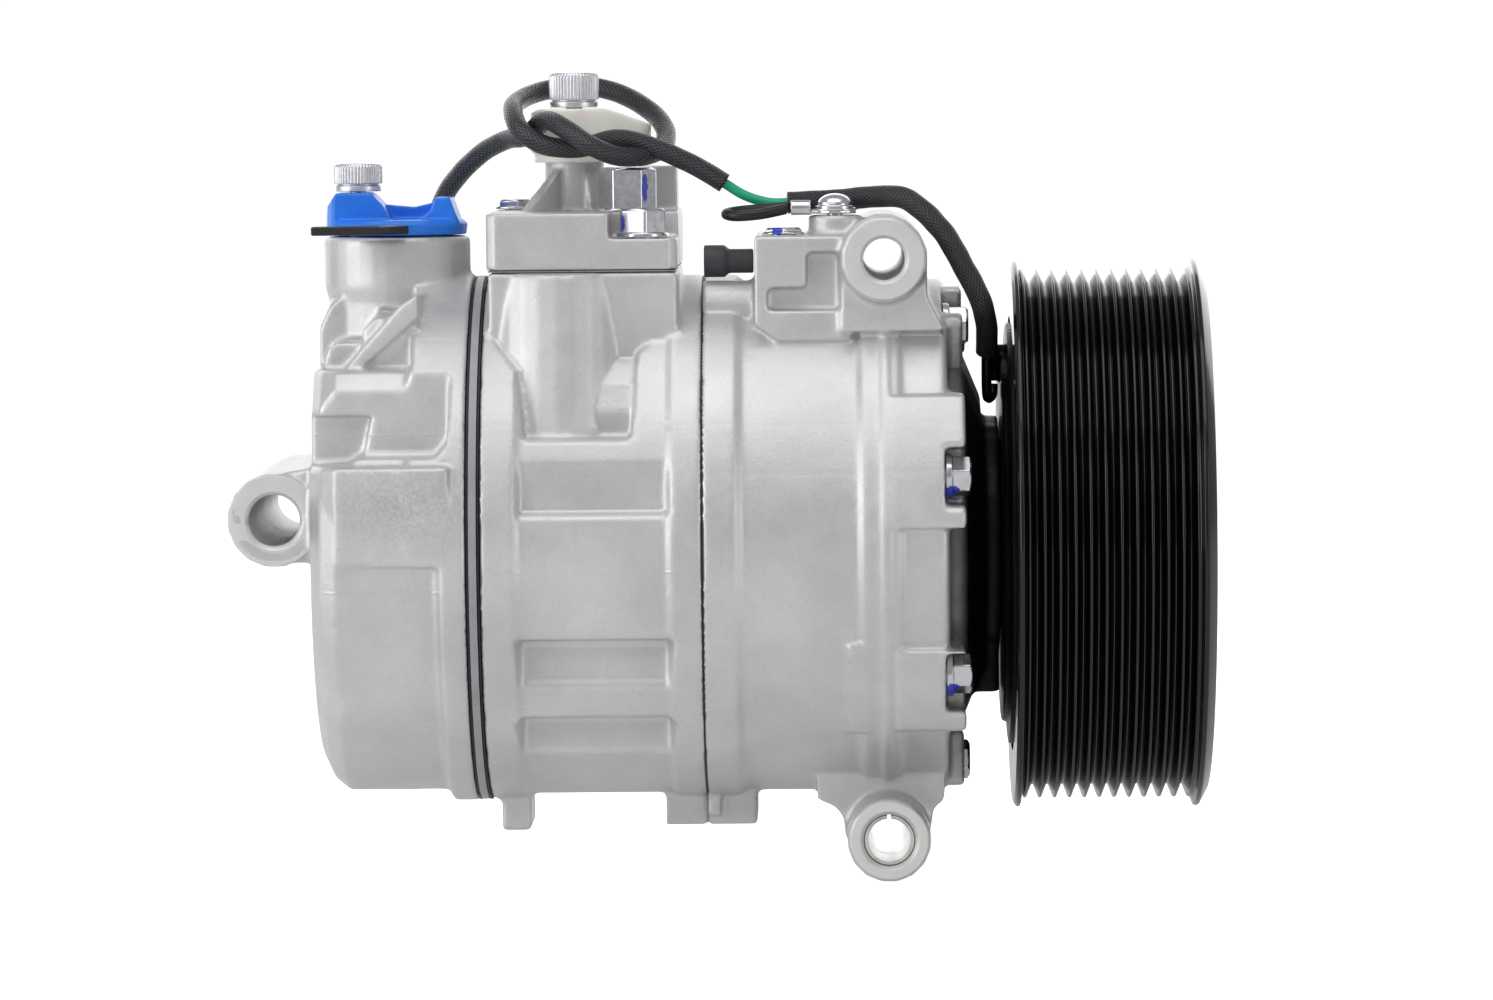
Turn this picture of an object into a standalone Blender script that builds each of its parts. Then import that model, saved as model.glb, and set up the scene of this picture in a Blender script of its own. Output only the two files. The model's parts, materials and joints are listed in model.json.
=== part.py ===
"""Belt-driven swash-plate compressor for a vehicle's air conditioning, with its clutch.

Lengths in this file are millimetres. The shaft is the X axis, with the pulley at +X. +Z is up.
X = 0 is the plane of the two front mounting eyes. Solids are scaled to metres when they are made.
Angles round the shaft start at -Y and rise towards +Z.
"""

from math import cos, pi, radians, sin, sqrt

import bpy
import bmesh
from mathutils import Matrix, Vector

MM = 0.001
GAP = 0.3  # between neighbouring pieces that touch on the real machine

# Castings along the shaft
REAR_END = -134.0
REAR_SHOULDER = -110.4
REAR_STEP = -103.2  # where the flange starts below the arm
REAR_FACE = -97.5  # rear housing's joint face
BLOCK_REAR = -93.9
BLOCK_FRONT = -42.8
FRONT_REAR = -42.5
FRONT_FACE = 14.6
CHAMBER_FRONT = 11.2
FLANGE_R = 62.5
BARREL_R = 61.0
CHAMBER_R = 57.4

# Cylinders, pistons and bolts
CYLINDERS = 7
STEP = 360.0 / CYLINDERS
PISTON_CIRCLE = 40.5
BORE_R = 16.0
PISTON_R = 15.75
BOLT_CIRCLE = 54.0
FIRST_BOLT = 17.9
BOLT_R = 3.0
BOLT_HOLE_R = 3.4
SPOT_FACE = 13.6
LUG_FACE = 18.5

# Swash plate
PLATE_X = -30.0
PLATE_R = 47.3
PLATE_HALF = 3.5
YOKE_HALF_GAP = 7.8
YOKE_HALF = 12.5
SHAFT_R = 9.0

# Mounting eyes: x, z, radius of the casting, radius of the machined face, bore
EYE_HALF = 45.0
UPPER_EYE = (0.0, 66.9, 10.3, 9.3, 4.9)
LOWER_EYE = (0.3, -69.0, 9.9, 9.0, 6.1)
REAR_EYE = (-142.8, 7.1, 11.1, 10.6, 6.07)

# Pulley
PULLEY_R = 66.0
RIDGE_R = 63.5
GROOVE_R = 60.2
RIB_PITCH = 3.56
GROOVES = 11
FIRST_RIDGE = 33.0
PULLEY_REAR = 30.2
PULLEY_FRONT = 76.5

# Gas ports and the discharge chamber
SUCTION_X = -116.0
SUCTION_TOP = 72.4
CHAMBER_TOP = 64.2
COVER_BASE = 64.8
COVER_TOP = 78.0
DISCHARGE_X = -73.4
DISCHARGE_TOP = 91.7
CONTROL_VALVE = (-121.5, -17.0)  # x and z of its axis
VALVE_SEAT = 61.0
OIL_PLUG = (-23.6, -26.0)
EARTH_SCREW = (-11.3, -25.0)

ROUND = 32  # sides of a large round part
MEDIUM = 16
SMALL = 12
HOLE = 8  # sides of a bolt hole
WELD = 0.004  # corners nearer than this are one corner


# ---------------------------------------------------------------- materials

def material(name, red, green, blue, metallic, roughness):
    made = bpy.data.materials.new(name)
    made.use_nodes = True
    shader = made.node_tree.nodes["Principled BSDF"]
    shader.inputs["Base Color"].default_value = (red, green, blue, 1.0)
    shader.inputs["Metallic"].default_value = metallic
    shader.inputs["Roughness"].default_value = roughness
    return made


def make_materials():
    return {
        "cast": material("cast_aluminium", 0.62, 0.61, 0.60, 0.9, 0.5),
        "steel": material("machined_steel", 0.55, 0.55, 0.56, 1.0, 0.3),
        "plated": material("zinc_plated_steel", 0.66, 0.66, 0.66, 1.0, 0.25),
        "black": material("black_painted_steel", 0.01, 0.01, 0.012, 0.0, 0.25),
        "rubber": material("black_rubber", 0.02, 0.02, 0.02, 0.0, 0.7),
        "gasket": material("gasket_sheet", 0.05, 0.05, 0.055, 0.0, 0.6),
        "blue": material("blue_plastic", 0.03, 0.24, 0.86, 0.0, 0.35),
        "milky": material("milky_plastic", 0.75, 0.80, 0.72, 0.0, 0.4),
        "bronze": material("bearing_bronze", 0.45, 0.30, 0.12, 1.0, 0.35),
        "sleeving": material("woven_sleeving", 0.015, 0.015, 0.018, 0.0, 0.6),
        "moulded": material("black_moulding", 0.02, 0.02, 0.022, 0.0, 0.45),
    }


# ---------------------------------------------------------------- solids

def solid(points, faces):
    """An object with the given corners, in millimetres, and its faces turned outwards."""
    mesh = bpy.data.meshes.new("solid")
    work = bmesh.new()
    corners = [work.verts.new(Vector(p) * MM) for p in points]
    for face in faces:
        work.faces.new([corners[i] for i in face])
    bmesh.ops.recalc_face_normals(work, faces=work.faces)
    work.to_mesh(mesh)
    work.free()
    made = bpy.data.objects.new("solid", mesh)
    bpy.context.scene.collection.objects.link(made)
    return made


def on_axis(axis, along, a, b):
    """The point at this distance along an axis and at (a, b) across it."""
    if axis == "x":
        return (along, a, b)
    if axis == "y":
        return (a, along, b)
    return (a, b, along)


def turned(profile, sides, axis="x", centre=(0.0, 0.0), turn=0.5):
    """A profile of (distance along the axis, radius) turned about the axis.

    A profile that starts and ends at radius 0 is a plug; any other is closed into a ring.
    """
    points = []
    rings = []
    for along, radius in profile:
        if radius == 0:
            rings.append([len(points)] * sides)
            points.append(on_axis(axis, along, *centre))
            continue
        rings.append([len(points) + k for k in range(sides)])
        for k in range(sides):
            angle = 2 * pi * (k + turn) / sides
            a = centre[0] + radius * cos(angle)
            b = centre[1] + radius * sin(angle)
            points.append(on_axis(axis, along, a, b))
    pairs = list(zip(rings, rings[1:]))
    if profile[0][1] > 0:
        pairs.append((rings[-1], rings[0]))
    faces = []
    for one, two in pairs:
        for k in range(sides):
            j = (k + 1) % sides
            quad = [one[k], one[j], two[j], two[k]]
            faces.append(list(dict.fromkeys(quad)))
    return solid(points, faces)


def rod(axis, centre, radius, start, end, sides=SMALL, turn=0.5):
    return turned([(start, 0), (start, radius), (end, radius), (end, 0)], sides, axis, centre, turn)


def ring(axis, centre, inner, outer, start, end, sides=MEDIUM):
    profile = [(start, inner), (start, outer), (end, outer), (end, inner)]
    return turned(profile, sides, axis, centre)


def prism(outline, axis, start, end):
    """An outline of (a, b) points pushed from start to end along an axis."""
    count = len(outline)
    points = [on_axis(axis, start, a, b) for a, b in outline]
    points += [on_axis(axis, end, a, b) for a, b in outline]
    faces = [list(range(count)), list(range(count, 2 * count))]
    for k in range(count):
        j = (k + 1) % count
        faces.append([k, j, count + j, count + k])
    return solid(points, faces)


def box(x, y, z):
    outline = [(x[0], y[0]), (x[1], y[0]), (x[1], y[1]), (x[0], y[1])]
    return prism(outline, "z", z[0], z[1])


def frustum(outer, inner, axis, start, end):
    """A tapered block: the outer rectangle (a0, a1, b0, b1) at start, the inner one at end."""
    points = []
    for along, (a0, a1, b0, b1) in ((start, outer), (end, inner)):
        for a, b in ((a0, b0), (a1, b0), (a1, b1), (a0, b1)):
            points.append(on_axis(axis, along, a, b))
    faces = [[0, 1, 2, 3], [4, 5, 6, 7]]
    for k in range(4):
        j = (k + 1) % 4
        faces.append([k, j, 4 + j, 4 + k])
    return solid(points, faces)


def leaning_column(x, radius, rings, sides):
    """An upright column whose axis passes through each (z, y) of rings."""
    points = []
    for z, y in rings:
        for k in range(sides):
            angle = 2 * pi * k / sides
            points.append((x + radius * cos(angle), y + radius * sin(angle), z))
    faces = [list(range(sides)), list(range(len(points) - sides, len(points)))]
    for level in range(len(rings) - 1):
        for k in range(sides):
            j = (k + 1) % sides
            low = level * sides
            faces.append([low + k, low + j, low + sides + j, low + sides + k])
    return solid(points, faces)


def combine(body, tools, operation):
    """Join, cut or trim a body with each tool in turn. The tools are used up."""
    for tool in tools:
        modifier = body.modifiers.new(operation, "BOOLEAN")
        modifier.operation = operation
        modifier.solver = "EXACT"
        modifier.object = tool
        graph = bpy.context.evaluated_depsgraph_get()
        shaped = bpy.data.meshes.new_from_object(body.evaluated_get(graph))
        body.modifiers.remove(modifier)
        old = body.data
        body.data = shaped
        bpy.data.meshes.remove(old)
        bpy.data.objects.remove(tool)
        weld(shaped)
    return body


def weld(mesh):
    """Close the hairline cracks that a cut can leave."""
    work = bmesh.new()
    work.from_mesh(mesh)
    bmesh.ops.remove_doubles(work, verts=work.verts, dist=WELD * MM)
    bmesh.ops.dissolve_degenerate(work, edges=work.edges, dist=WELD * MM)
    work.to_mesh(mesh)
    work.free()


def join(body, *tools):
    return combine(body, tools, "UNION")


def cut(body, *tools):
    return combine(body, tools, "DIFFERENCE")


def keep(body, *tools):
    return combine(body, tools, "INTERSECT")


def turn_about_x(piece, angle):
    piece.data.transform(Matrix.Rotation(radians(angle), 4, "X"))
    return piece


def finish(piece, name, finish_material, sharp=30.0):
    """Name a piece, give it its material and shade its round faces smooth."""
    piece.name = name
    piece.data.name = name
    piece.data.materials.clear()
    piece.data.materials.append(finish_material)
    piece.data.shade_smooth()
    piece.data.set_sharp_from_angle(angle=radians(sharp))
    return piece


def around(angle, radius):
    """The (y, z) of a point round the shaft."""
    return (-radius * cos(radians(angle)), radius * sin(radians(angle)))


def set_on_x(piece, x):
    """Put a piece's origin on the shaft at x, without moving its surface."""
    piece.data.transform(Matrix.Translation((-x * MM, 0, 0)))
    piece.location = (x * MM, 0, 0)


BOLT_ANGLES = [FIRST_BOLT + STEP * k for k in range(CYLINDERS)]
PISTON_ANGLES = [angle + STEP / 2 for angle in BOLT_ANGLES]
TOP_DEAD_CENTRE = BOLT_ANGLES[1]  # half way between the two upper pistons


def bolt_holes(start, end, radius=BOLT_HOLE_R):
    return [rod("x", around(a, BOLT_CIRCLE), radius, start, end, HOLE) for a in BOLT_ANGLES]


# ---------------------------------------------------------------- castings

def eye(x, z, cast_r, face_r, hole_r):
    """A mounting eye across the machine: casting with a machined face at each end."""
    step = 0.6
    ends = [(-EYE_HALF, face_r), (-EYE_HALF + step, face_r), (-EYE_HALF + step, cast_r)]
    profile = [(-EYE_HALF, 0)] + ends + [(-y, r) for y, r in reversed(ends)] + [(EYE_HALF, 0)]
    return turned(profile, MEDIUM, "y", (x, z))


def eye_bore(x, z, cast_r, face_r, hole_r):
    """The bore of an eye with a chamfer at each mouth."""
    chamfer = 0.9
    past = EYE_HALF + 1.0
    profile = [(-past, 0), (-past, hole_r + chamfer + 1.0)]
    profile += [(-EYE_HALF + chamfer, hole_r), (EYE_HALF - chamfer, hole_r)]
    profile += [(past, hole_r + chamfer + 1.0), (past, 0)]
    return turned(profile, 20, "y", (x, z))


def front_housing():
    rib_r = 62.2
    profile = [
        (FRONT_REAR, CHAMBER_R),
        (FRONT_REAR, FLANGE_R),
        (-35.0, FLANGE_R),
        (-33.4, BARREL_R),
        (-6.3, BARREL_R),
        (-5.4, rib_r),
        (3.0, rib_r),
        (3.9, BARREL_R),
        (FRONT_FACE - 1.2, BARREL_R),
        (FRONT_FACE, BARREL_R - 1.2),
        (FRONT_FACE, 20.0),
        (CHAMBER_FRONT, 20.0),
        (CHAMBER_FRONT, CHAMBER_R),
    ]
    housing = turned(profile, ROUND)
    nose_bore = 13.3
    seat = 22.0
    nose_r = 17.2
    nose = [
        (CHAMBER_FRONT + 0.1, nose_bore),
        (CHAMBER_FRONT + 0.1, 47.0),
        (LUG_FACE, 44.0),
        (23.0, 33.0),
        (23.0, 28.3),
        (27.2, 28.3),
        (27.2, seat),
        (32.0, seat),
        (32.0, seat - 1.0),
        (33.6, seat - 1.0),
        (33.6, seat),
        (36.0, seat),
        (36.0, nose_r),
        (60.2, nose_r),
        (60.2, nose_r - 0.9),
        (61.6, nose_r - 0.9),
        (61.6, nose_r),
        (62.4, nose_r),
        (62.4, nose_bore),
    ]
    join(housing, turned(nose, 24))
    # Lower web of the nose
    join(housing, box((16.0, 27.0), (-11.0, 11.0), (-37.2, -24.0)))
    # Bolt lugs
    lugs = [box((1.6, LUG_FACE), (-66.0, -40.0), (5.2, 35.6))]
    lugs.append(box((2.4, LUG_FACE), (-66.0, -36.0), (-43.4, -23.6)))
    for angle in BOLT_ANGLES[1:6]:
        lug = box((2.8, LUG_FACE), (-10.5, 10.5), (47.0, 66.0))
        lugs.append(turn_about_x(lug, 90.0 - angle))
    for k, lug in enumerate(lugs):
        reach = 63.1 if k < 2 else BARREL_R - 0.2
        keep(lug, rod("x", (0, 0), reach, 0.0, 30.0, ROUND, 0.5))
        join(housing, lug)
    # Ridge of the rib, and its wider place beside the lower lug
    ridge = turned([(-0.7, 58.0), (-0.7, 62.9), (0.8, 62.9), (0.8, 58.0)], ROUND)
    join(housing, ridge)
    wide = box((-9.0, -4.0), (-66.0, -36.0), (-43.8, -21.8))
    keep(wide, rod("x", (0, 0), rib_r + 0.3, -20.0, 0.0, ROUND))
    join(housing, wide)
    # Eyes and their webs
    upper = [(-10.0, 50.0), (-10.0, 67.2), (10.1, 67.2), (10.1, 58.0), (14.0, 50.0)]
    join(housing, prism(upper, "y", -41.5, 41.5))
    lower = [(-10.0, -69.5), (-10.3, -65.5), (-12.2, -62.9), (-16.5, -61.0), (-16.5, -54.0)]
    lower += [(14.0, -54.0), (13.4, -61.4), (11.0, -63.4), (10.0, -69.5)]
    join(housing, prism(lower, "y", -27.0, 27.0))
    join(housing, eye(*UPPER_EYE), eye(*LOWER_EYE))
    # Pad beside the upper eye, with its stepped pocket and the boss of the earth screw
    pad = prism([(-30.2, 51.5), (-30.2, 72.4), (-8.0, 72.4), (-8.0, 48.0), (-25.0, 48.0)], "y", -40.0, 22.0)
    join(housing, pad)
    pocket = [(-27.4, 54.9), (-27.4, 60.3), (-18.1, 60.3), (-18.1, 68.6), (-10.4, 68.6), (-10.4, 54.9)]
    cut(housing, prism(pocket, "y", -45.0, -36.0))
    join(housing, rod("z", EARTH_SCREW, 6.3, 60.0, 77.0, 20))
    # Gas passage lying along the top of the barrel
    join(housing, rod("x", (-24.0, 55.2), 6.6, FRONT_REAR + 0.07, -29.0, 16))
    # Foot under the joint, and the bright tab on it
    join(housing, box((FRONT_REAR + 0.05, -30.8), (-12.1, 12.1), (-68.3, -58.1)))
    join(housing, box((FRONT_REAR + 0.1, -39.6), (-14.5, -11.0), (-66.0, -58.9)))
    # Hollow of the crank chamber through the added parts, spot faces, holes and bores
    cut(housing, rod("x", (0, 0), CHAMBER_R, FRONT_REAR - 1, CHAMBER_FRONT, ROUND))
    cut(housing, box((SPOT_FACE, 25.0), (-70.0, -44.2), (10.0, 23.6)))
    cut(housing, box((SPOT_FACE, 25.0), (-70.0, -37.5), (-38.4, -24.2)))
    for angle in BOLT_ANGLES[1:6]:
        notch = box((SPOT_FACE, 25.0), (-6.8, 6.8), (BOLT_CIRCLE - 6.9, 70.0))
        cut(housing, turn_about_x(notch, 90.0 - angle))
    cut(housing, *bolt_holes(CHAMBER_FRONT - 1, SPOT_FACE + 6))
    cut(housing, eye_bore(*UPPER_EYE), eye_bore(*LOWER_EYE))
    cut(housing, rod("z", EARTH_SCREW, 2.3, 66.0, 80.0, 12))
    cut(housing, rod("z", OIL_PLUG, 3.4, 62.0, 80.0, 12))
    return housing


def cylinder_block():
    profile = [(BLOCK_REAR, 0), (BLOCK_REAR, FLANGE_R), (BLOCK_FRONT, FLANGE_R), (BLOCK_FRONT, 0)]
    block = turned(profile, ROUND)
    # Pocket in front of the discharge chamber
    wall = -38.0
    deep = [(-93.0, 50.0), (-85.8, 41.7), (-84.0, 26.0), (-58.8, 26.0), (-57.6, 45.3), (-47.0, 52.4)]
    deep += [(-47.0, 70.0), (-93.0, 70.0)]
    cut(block, prism(deep, "y", -70.0, wall))
    # Shallow pockets between the end rings, one below the other: z from, z to, depth of the floor
    floors = ((25.9, 6.0, -57.6), (-20.0, -32.4, -51.6), (-38.6, -54.5, -38.0))
    for top, bottom, floor in floors:
        outer = (-87.0, -48.8, bottom, top)
        inner = (-85.2, -50.6, bottom + 1.6, top - 0.8)
        if top == 25.9:
            inner = (-85.2, -50.6, bottom + 3.4, top)
        cut(block, frustum(outer, inner, "y", -70.0 if top > 0 else floor - 9.0, floor))
    # Waist between the rings on the other side and below
    waist = turned([(-86.0, 61.4), (-86.0, 70.0), (-50.0, 70.0), (-50.0, 61.4)], ROUND)
    cut(block, waist)
    # Discharge chamber: straight sides with a round front, and a flat shoulder at its right
    chamber = box((-92.6, -48.4), (wall, 34.0), (20.0, CHAMBER_TOP))
    join(block, chamber)
    join(block, leaning_column(-76.5, 15.8, ((24.0, -35.8), (CHAMBER_TOP - 0.4, -26.2)), 24))
    # Outer wall of the cylinder that lies behind the pocket
    wall_y, wall_z = around(PISTON_ANGLES[0], PISTON_CIRCLE)
    join(block, rod("x", (wall_y, wall_z), BORE_R + 2.2, -86.6, -56.4, MEDIUM))
    # Feet
    join(block, box((-91.8, -84.8), (-11.0, 11.0), (-69.6, -56.0)))
    join(block, box((-52.6, BLOCK_FRONT - 0.05), (-12.1, 12.1), (-68.3, -56.3)))
    # Cylinders, shaft bore, rear bearing seat, bolt holes, seal groove, chamber and cover holes
    for angle in PISTON_ANGLES:
        cylinder = rod("x", (0, PISTON_CIRCLE), BORE_R, BLOCK_REAR - 1, BLOCK_FRONT + 1, MEDIUM)
        cut(block, turn_about_x(cylinder, 90.0 - angle))
    cut(block, rod("x", (0, 0), SHAFT_R + 0.6, BLOCK_REAR - 1, BLOCK_FRONT + 1, 24))
    cut(block, rod("x", (0, 0), 13.3, BLOCK_REAR - 1, -73.7, 24))
    cut(block, *bolt_holes(BLOCK_REAR - 1, BLOCK_FRONT + 1))
    cut(block, box((-88.0, -66.0), (-30.0, 29.0), (58.6, CHAMBER_TOP + 1)))
    cut(block, rod("z", (-56.5, -29.5), 2.9, 50.0, 70.0, 12))
    cut(block, rod("z", (-88.6, 18.0), 2.9, 56.0, 70.0, 12))
    return block


def rear_housing():
    profile = [
        (REAR_END, 0),
        (REAR_END, 52.0),
        (REAR_END + 2.6, 57.6),
        (REAR_END + 6.0, 60.3),
        (REAR_SHOULDER - 1.2, 60.3),
        (REAR_SHOULDER, 62.9),
        (REAR_FACE, 62.9),
        (REAR_FACE, 0),
    ]
    housing = turned(profile, ROUND)
    # The shoulder is long above the arm only
    groove = turned(
        [(REAR_SHOULDER - 1.6, 60.25), (REAR_SHOULDER - 1.6, 66.0), (REAR_STEP, 66.0), (REAR_STEP, 62.8),
         (REAR_STEP - 1.2, 60.25)],
        ROUND,
    )
    keep(groove, box((-120.0, -100.0), (-70.0, 70.0), (-70.0, -2.0)))
    cut(housing, groove)
    # Shoulders cut away either side of the suction tower
    cut(housing, box((-140.0, REAR_SHOULDER), (-70.0, -12.0), (41.8, 75.0)))
    cut(housing, box((-140.0, REAR_SHOULDER), (12.0, 70.0), (41.8, 75.0)))
    # Sunk panel between the flange and the rear, its front edge slanting
    panel = [(-140.0, 22.0), (-104.6, 22.0), (-101.6, 26.0), (-100.6, 50.0), (-110.3, 50.0), (-140.0, 50.0)]
    cut(housing, prism(panel, "y", -70.0, -47.5))
    corner = [(-140.0, 31.5), (-119.5, 31.5), (-121.5, 22.5), (-127.0, 19.0), (-140.0, 19.0)]
    cut(housing, prism(corner, "y", -70.0, -42.5))
    # Suction tower with a stepped foot
    tower = turned(
        [(30.0, 0), (30.0, 16.4), (57.0, 16.4), (60.5, 17.5), (71.6, 17.5), (SUCTION_TOP, 16.7),
         (SUCTION_TOP, 0)],
        32,
        "z",
        (SUCTION_X, 0.0),
    )
    join(housing, tower)
    # Block, round-ended boss and rib standing on the shoulder
    step = [(-133.0, 38.0), (-130.5, 46.8), (-128.0, 48.2), (-112.0, 48.2), (-112.0, 38.0)]
    block = prism(step, "y", -34.0, 30.0)
    join(housing, block)
    slope = [(-128.0, 40.0), (-124.0, 41.0), (-109.0, 54.0), (-109.0, 59.5), (-113.0, 57.0)]
    rib = prism(slope, "y", -40.0, -20.0)
    join(housing, rib)
    below = [(-126.5, 38.0), (-124.5, 41.2), (-109.5, 54.0), (-109.5, 38.0)]
    join(housing, prism(below, "y", -37.6, -8.0))
    boss = rod("y", (-117.4, 49.2), 4.9, -38.4, 0.0, 20)
    join(housing, boss)
    # Arm of the rear eye, flaring into the flange
    front = [(-146.0, -42.6), (-132.6, -43.4), (-126.5, -53.5), (-117.0, -60.2), (-101.0, -62.5)]
    back = [(x, -y) for x, y in reversed(front)]
    arm = prism(front + back, "z", -3.0, 20.2)
    keep(arm, box((-142.8, -101.0), (-62.5, 62.5), (-20.0, 40.0)))
    above = [(-154.0, 21.0), (-142.8, 17.9), (-127.5, 20.3), (-127.5, 40.0), (-154.0, 40.0)]
    cut(arm, prism(above, "y", -70.0, 70.0))
    join(housing, arm)
    join(housing, eye(*REAR_EYE))
    # Hollows round the bolt ends
    hollows = ((-60.5, -17.5, 7.0, -121.5), (-51.5, -39.0, 10.0, -118.0))
    for y, z, radius, tip in hollows:
        bowl = [(-140.0, 0), (-140.0, radius), (-133.0, radius * 0.8), (tip, 0.2), (tip, 0)]
        cut(housing, turned(bowl, SMALL, "x", (y, z)))
    # Boss of the control valve at the back
    join(housing, rod("y", CONTROL_VALVE, 11.8, 20.0, VALVE_SEAT, 20))
    cut(housing, rod("y", CONTROL_VALVE, 9.3, 34.0, VALVE_SEAT + 1, 20))
    # Suction ring, discharge chamber, ports and bolt holes
    cut(housing, ring("x", (0, 0), 27.0, 43.3, -119.0, REAR_FACE + 1, 36))
    cut(housing, rod("x", (0, 0), 22.0, -117.0, REAR_FACE + 1, MEDIUM))
    cut(housing, rod("z", (SUCTION_X, 0), 9.5, 34.0, SUCTION_TOP + 1, 20))
    cut(housing, *bolt_holes(-121.0, REAR_FACE + 1))
    cut(housing, eye_bore(*REAR_EYE))
    cut(housing, rod("z", (-125.2, 0.0), 2.3, 60.0, SUCTION_TOP + 1, 12))
    return housing


def joint_plate(start, end, radius, big_holes, hole_r, sides=ROUND):
    """A plate or gasket in the joint between the block and the rear housing."""
    plate = rod("x", (0, 0), radius, start, end, sides)
    cut(plate, *bolt_holes(start - 1, end + 1))
    for angle in PISTON_ANGLES:
        for radius_out in big_holes:
            hole = rod("x", (0, radius_out), hole_r, start - 1, end + 1, HOLE)
            cut(plate, turn_about_x(hole, 90.0 - angle))
    return plate


def muffler_cover():
    outline = [(-91.0, -38.2), (-64.4, -38.2), (-50.2, -38.2), (-48.3, -36.4), (-48.3, 32.0)]
    outline += [(-50.2, 34.0), (-91.0, 34.0), (-93.0, 32.0), (-93.0, -36.4)]
    cover = prism(outline, "z", COVER_BASE, COVER_TOP)
    cut(cover, box((-64.4, -45.0), (-45.0, -21.0), (72.0, 80.0)))
    # Port neck with its gussets
    neck = rod("z", (DISCHARGE_X, 0.0), 7.1, 70.0, DISCHARGE_TOP, 24)
    join(cover, neck)
    for angle, foot, shoulder in ((235.0, 20.0, 78.2), (125.0, 15.0, 78.2), (305.0, 8.8, 80.0)):
        outline = [(5.2, 77.0), (foot, 77.0), (foot, shoulder), (7.2, 88.0), (5.2, 88.0)]
        gusset = prism(outline, "y", -1.4, 1.4)
        turned_out = Matrix.Rotation(radians(angle), 4, "Z")
        gusset.data.transform(Matrix.Translation((DISCHARGE_X * MM, 0, 0)) @ turned_out)
        join(cover, gusset)
    # Post beside the plug
    join(cover, box((-58.4, -48.8), (-4.0, 14.0), (76.0, 88.6)))
    cut(cover, box((-89.4, -66.0), (-33.0, 30.0), (COVER_BASE - 1, 74.2)))
    cut(cover, rod("z", (DISCHARGE_X, 0.0), 4.4, 70.0, DISCHARGE_TOP + 1, 16))
    cut(cover, rod("z", (-56.5, -29.5), 2.9, COVER_BASE - 1, 74.0, 12))
    cut(cover, rod("z", (-60.3, -13.6), 3.4, 68.0, COVER_TOP + 1, 12))
    cut(cover, rod("z", (-88.6, 18.0), 2.9, COVER_BASE - 1, COVER_TOP + 1, 12))
    return cover


def muffler_gasket():
    gasket = box((-92.6, -48.5), (-37.8, 33.8), (CHAMBER_TOP + 0.15, COVER_BASE - 0.15))
    cut(gasket, box((-88.0, -66.0), (-30.0, 29.0), (CHAMBER_TOP - 1, COVER_BASE + 1)))
    cut(gasket, rod("z", (-56.5, -29.5), 3.2, CHAMBER_TOP - 1, COVER_BASE + 1, 12))
    cut(gasket, rod("z", (-88.6, 18.0), 3.2, CHAMBER_TOP - 1, COVER_BASE + 1, 12))
    return gasket


# ---------------------------------------------------------------- joints of the casing

def through_bolt():
    """Long bolt with a plain washer and a flanged hexagon head, on its own axis."""
    seat = SPOT_FACE + GAP
    body = turned(
        [
            (-118.0, 0), (-118.0, BOLT_R), (seat + 0.2, BOLT_R), (seat + 0.2, 5.9), (seat + 1.2, 5.9),
            (seat + 2.4, 5.0), (seat + 2.4, 0),
        ],
        HOLE,
    )
    head = turned([(seat + 2.0, 0), (seat + 2.0, 5.0), (seat + 6.4, 4.8), (seat + 6.4, 0)], 6)
    return join(body, head)


def flange_bolt(x, y, seat, shank_end, head_r, height, shank_r):
    """Upright screw with a hexagon head on a thin collar."""
    body = turned(
        [(shank_end, 0), (shank_end, shank_r), (seat, shank_r), (seat, head_r), (seat + 1.4, head_r),
         (seat + 1.4, 0)],
        SMALL,
        "z",
        (x, y),
    )
    head = turned(
        [(seat + 1.0, 0), (seat + 1.0, head_r * 0.94), (seat + height - 0.6, head_r * 0.94),
         (seat + height, head_r * 0.82), (seat + height, 0)],
        6,
        "z",
        (x, y),
        0.0,
    )
    return join(body, head)


def relief_plug():
    """Tall hexagon plug screwed into the cover."""
    x, y = -60.3, -13.6
    seat = COVER_TOP + GAP
    stem = rod("z", (x, y), 3.0, 68.5, seat + 0.5, 12)
    head = turned(
        [(seat, 0), (seat, 6.2), (seat + 0.8, 6.9), (seat + 9.4, 6.9), (seat + 10.2, 6.2), (seat + 10.2, 0)],
        6,
        "z",
        (x, y),
        0.0,
    )
    return join(head, stem)


# ---------------------------------------------------------------- shaft and swash plate

def drive_shaft():
    profile = [
        (-88.0, 0), (-88.0, SHAFT_R - 0.8), (-87.2, SHAFT_R), (41.0, SHAFT_R), (41.6, 7.6), (62.0, 7.6),
        (62.0, 6.0), (71.0, 6.0), (71.0, 2.8), (60.0, 2.8), (58.0, 0),
    ]
    return turned(profile, 24)


def lug_plate():
    """Driving plate fixed on the shaft, with the guide slot that faces the swash plate's arm."""
    plate = ring("x", (0, 0), SHAFT_R + GAP, 29.6, -2.0, 8.0, 32)
    slot = box((-3.0, 3.0), (-4.2, 4.2), (17.5, 32.0))
    turn_about_x(slot, 90.0 - TOP_DEAD_CENTRE)
    cut(plate, slot)
    return plate


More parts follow.
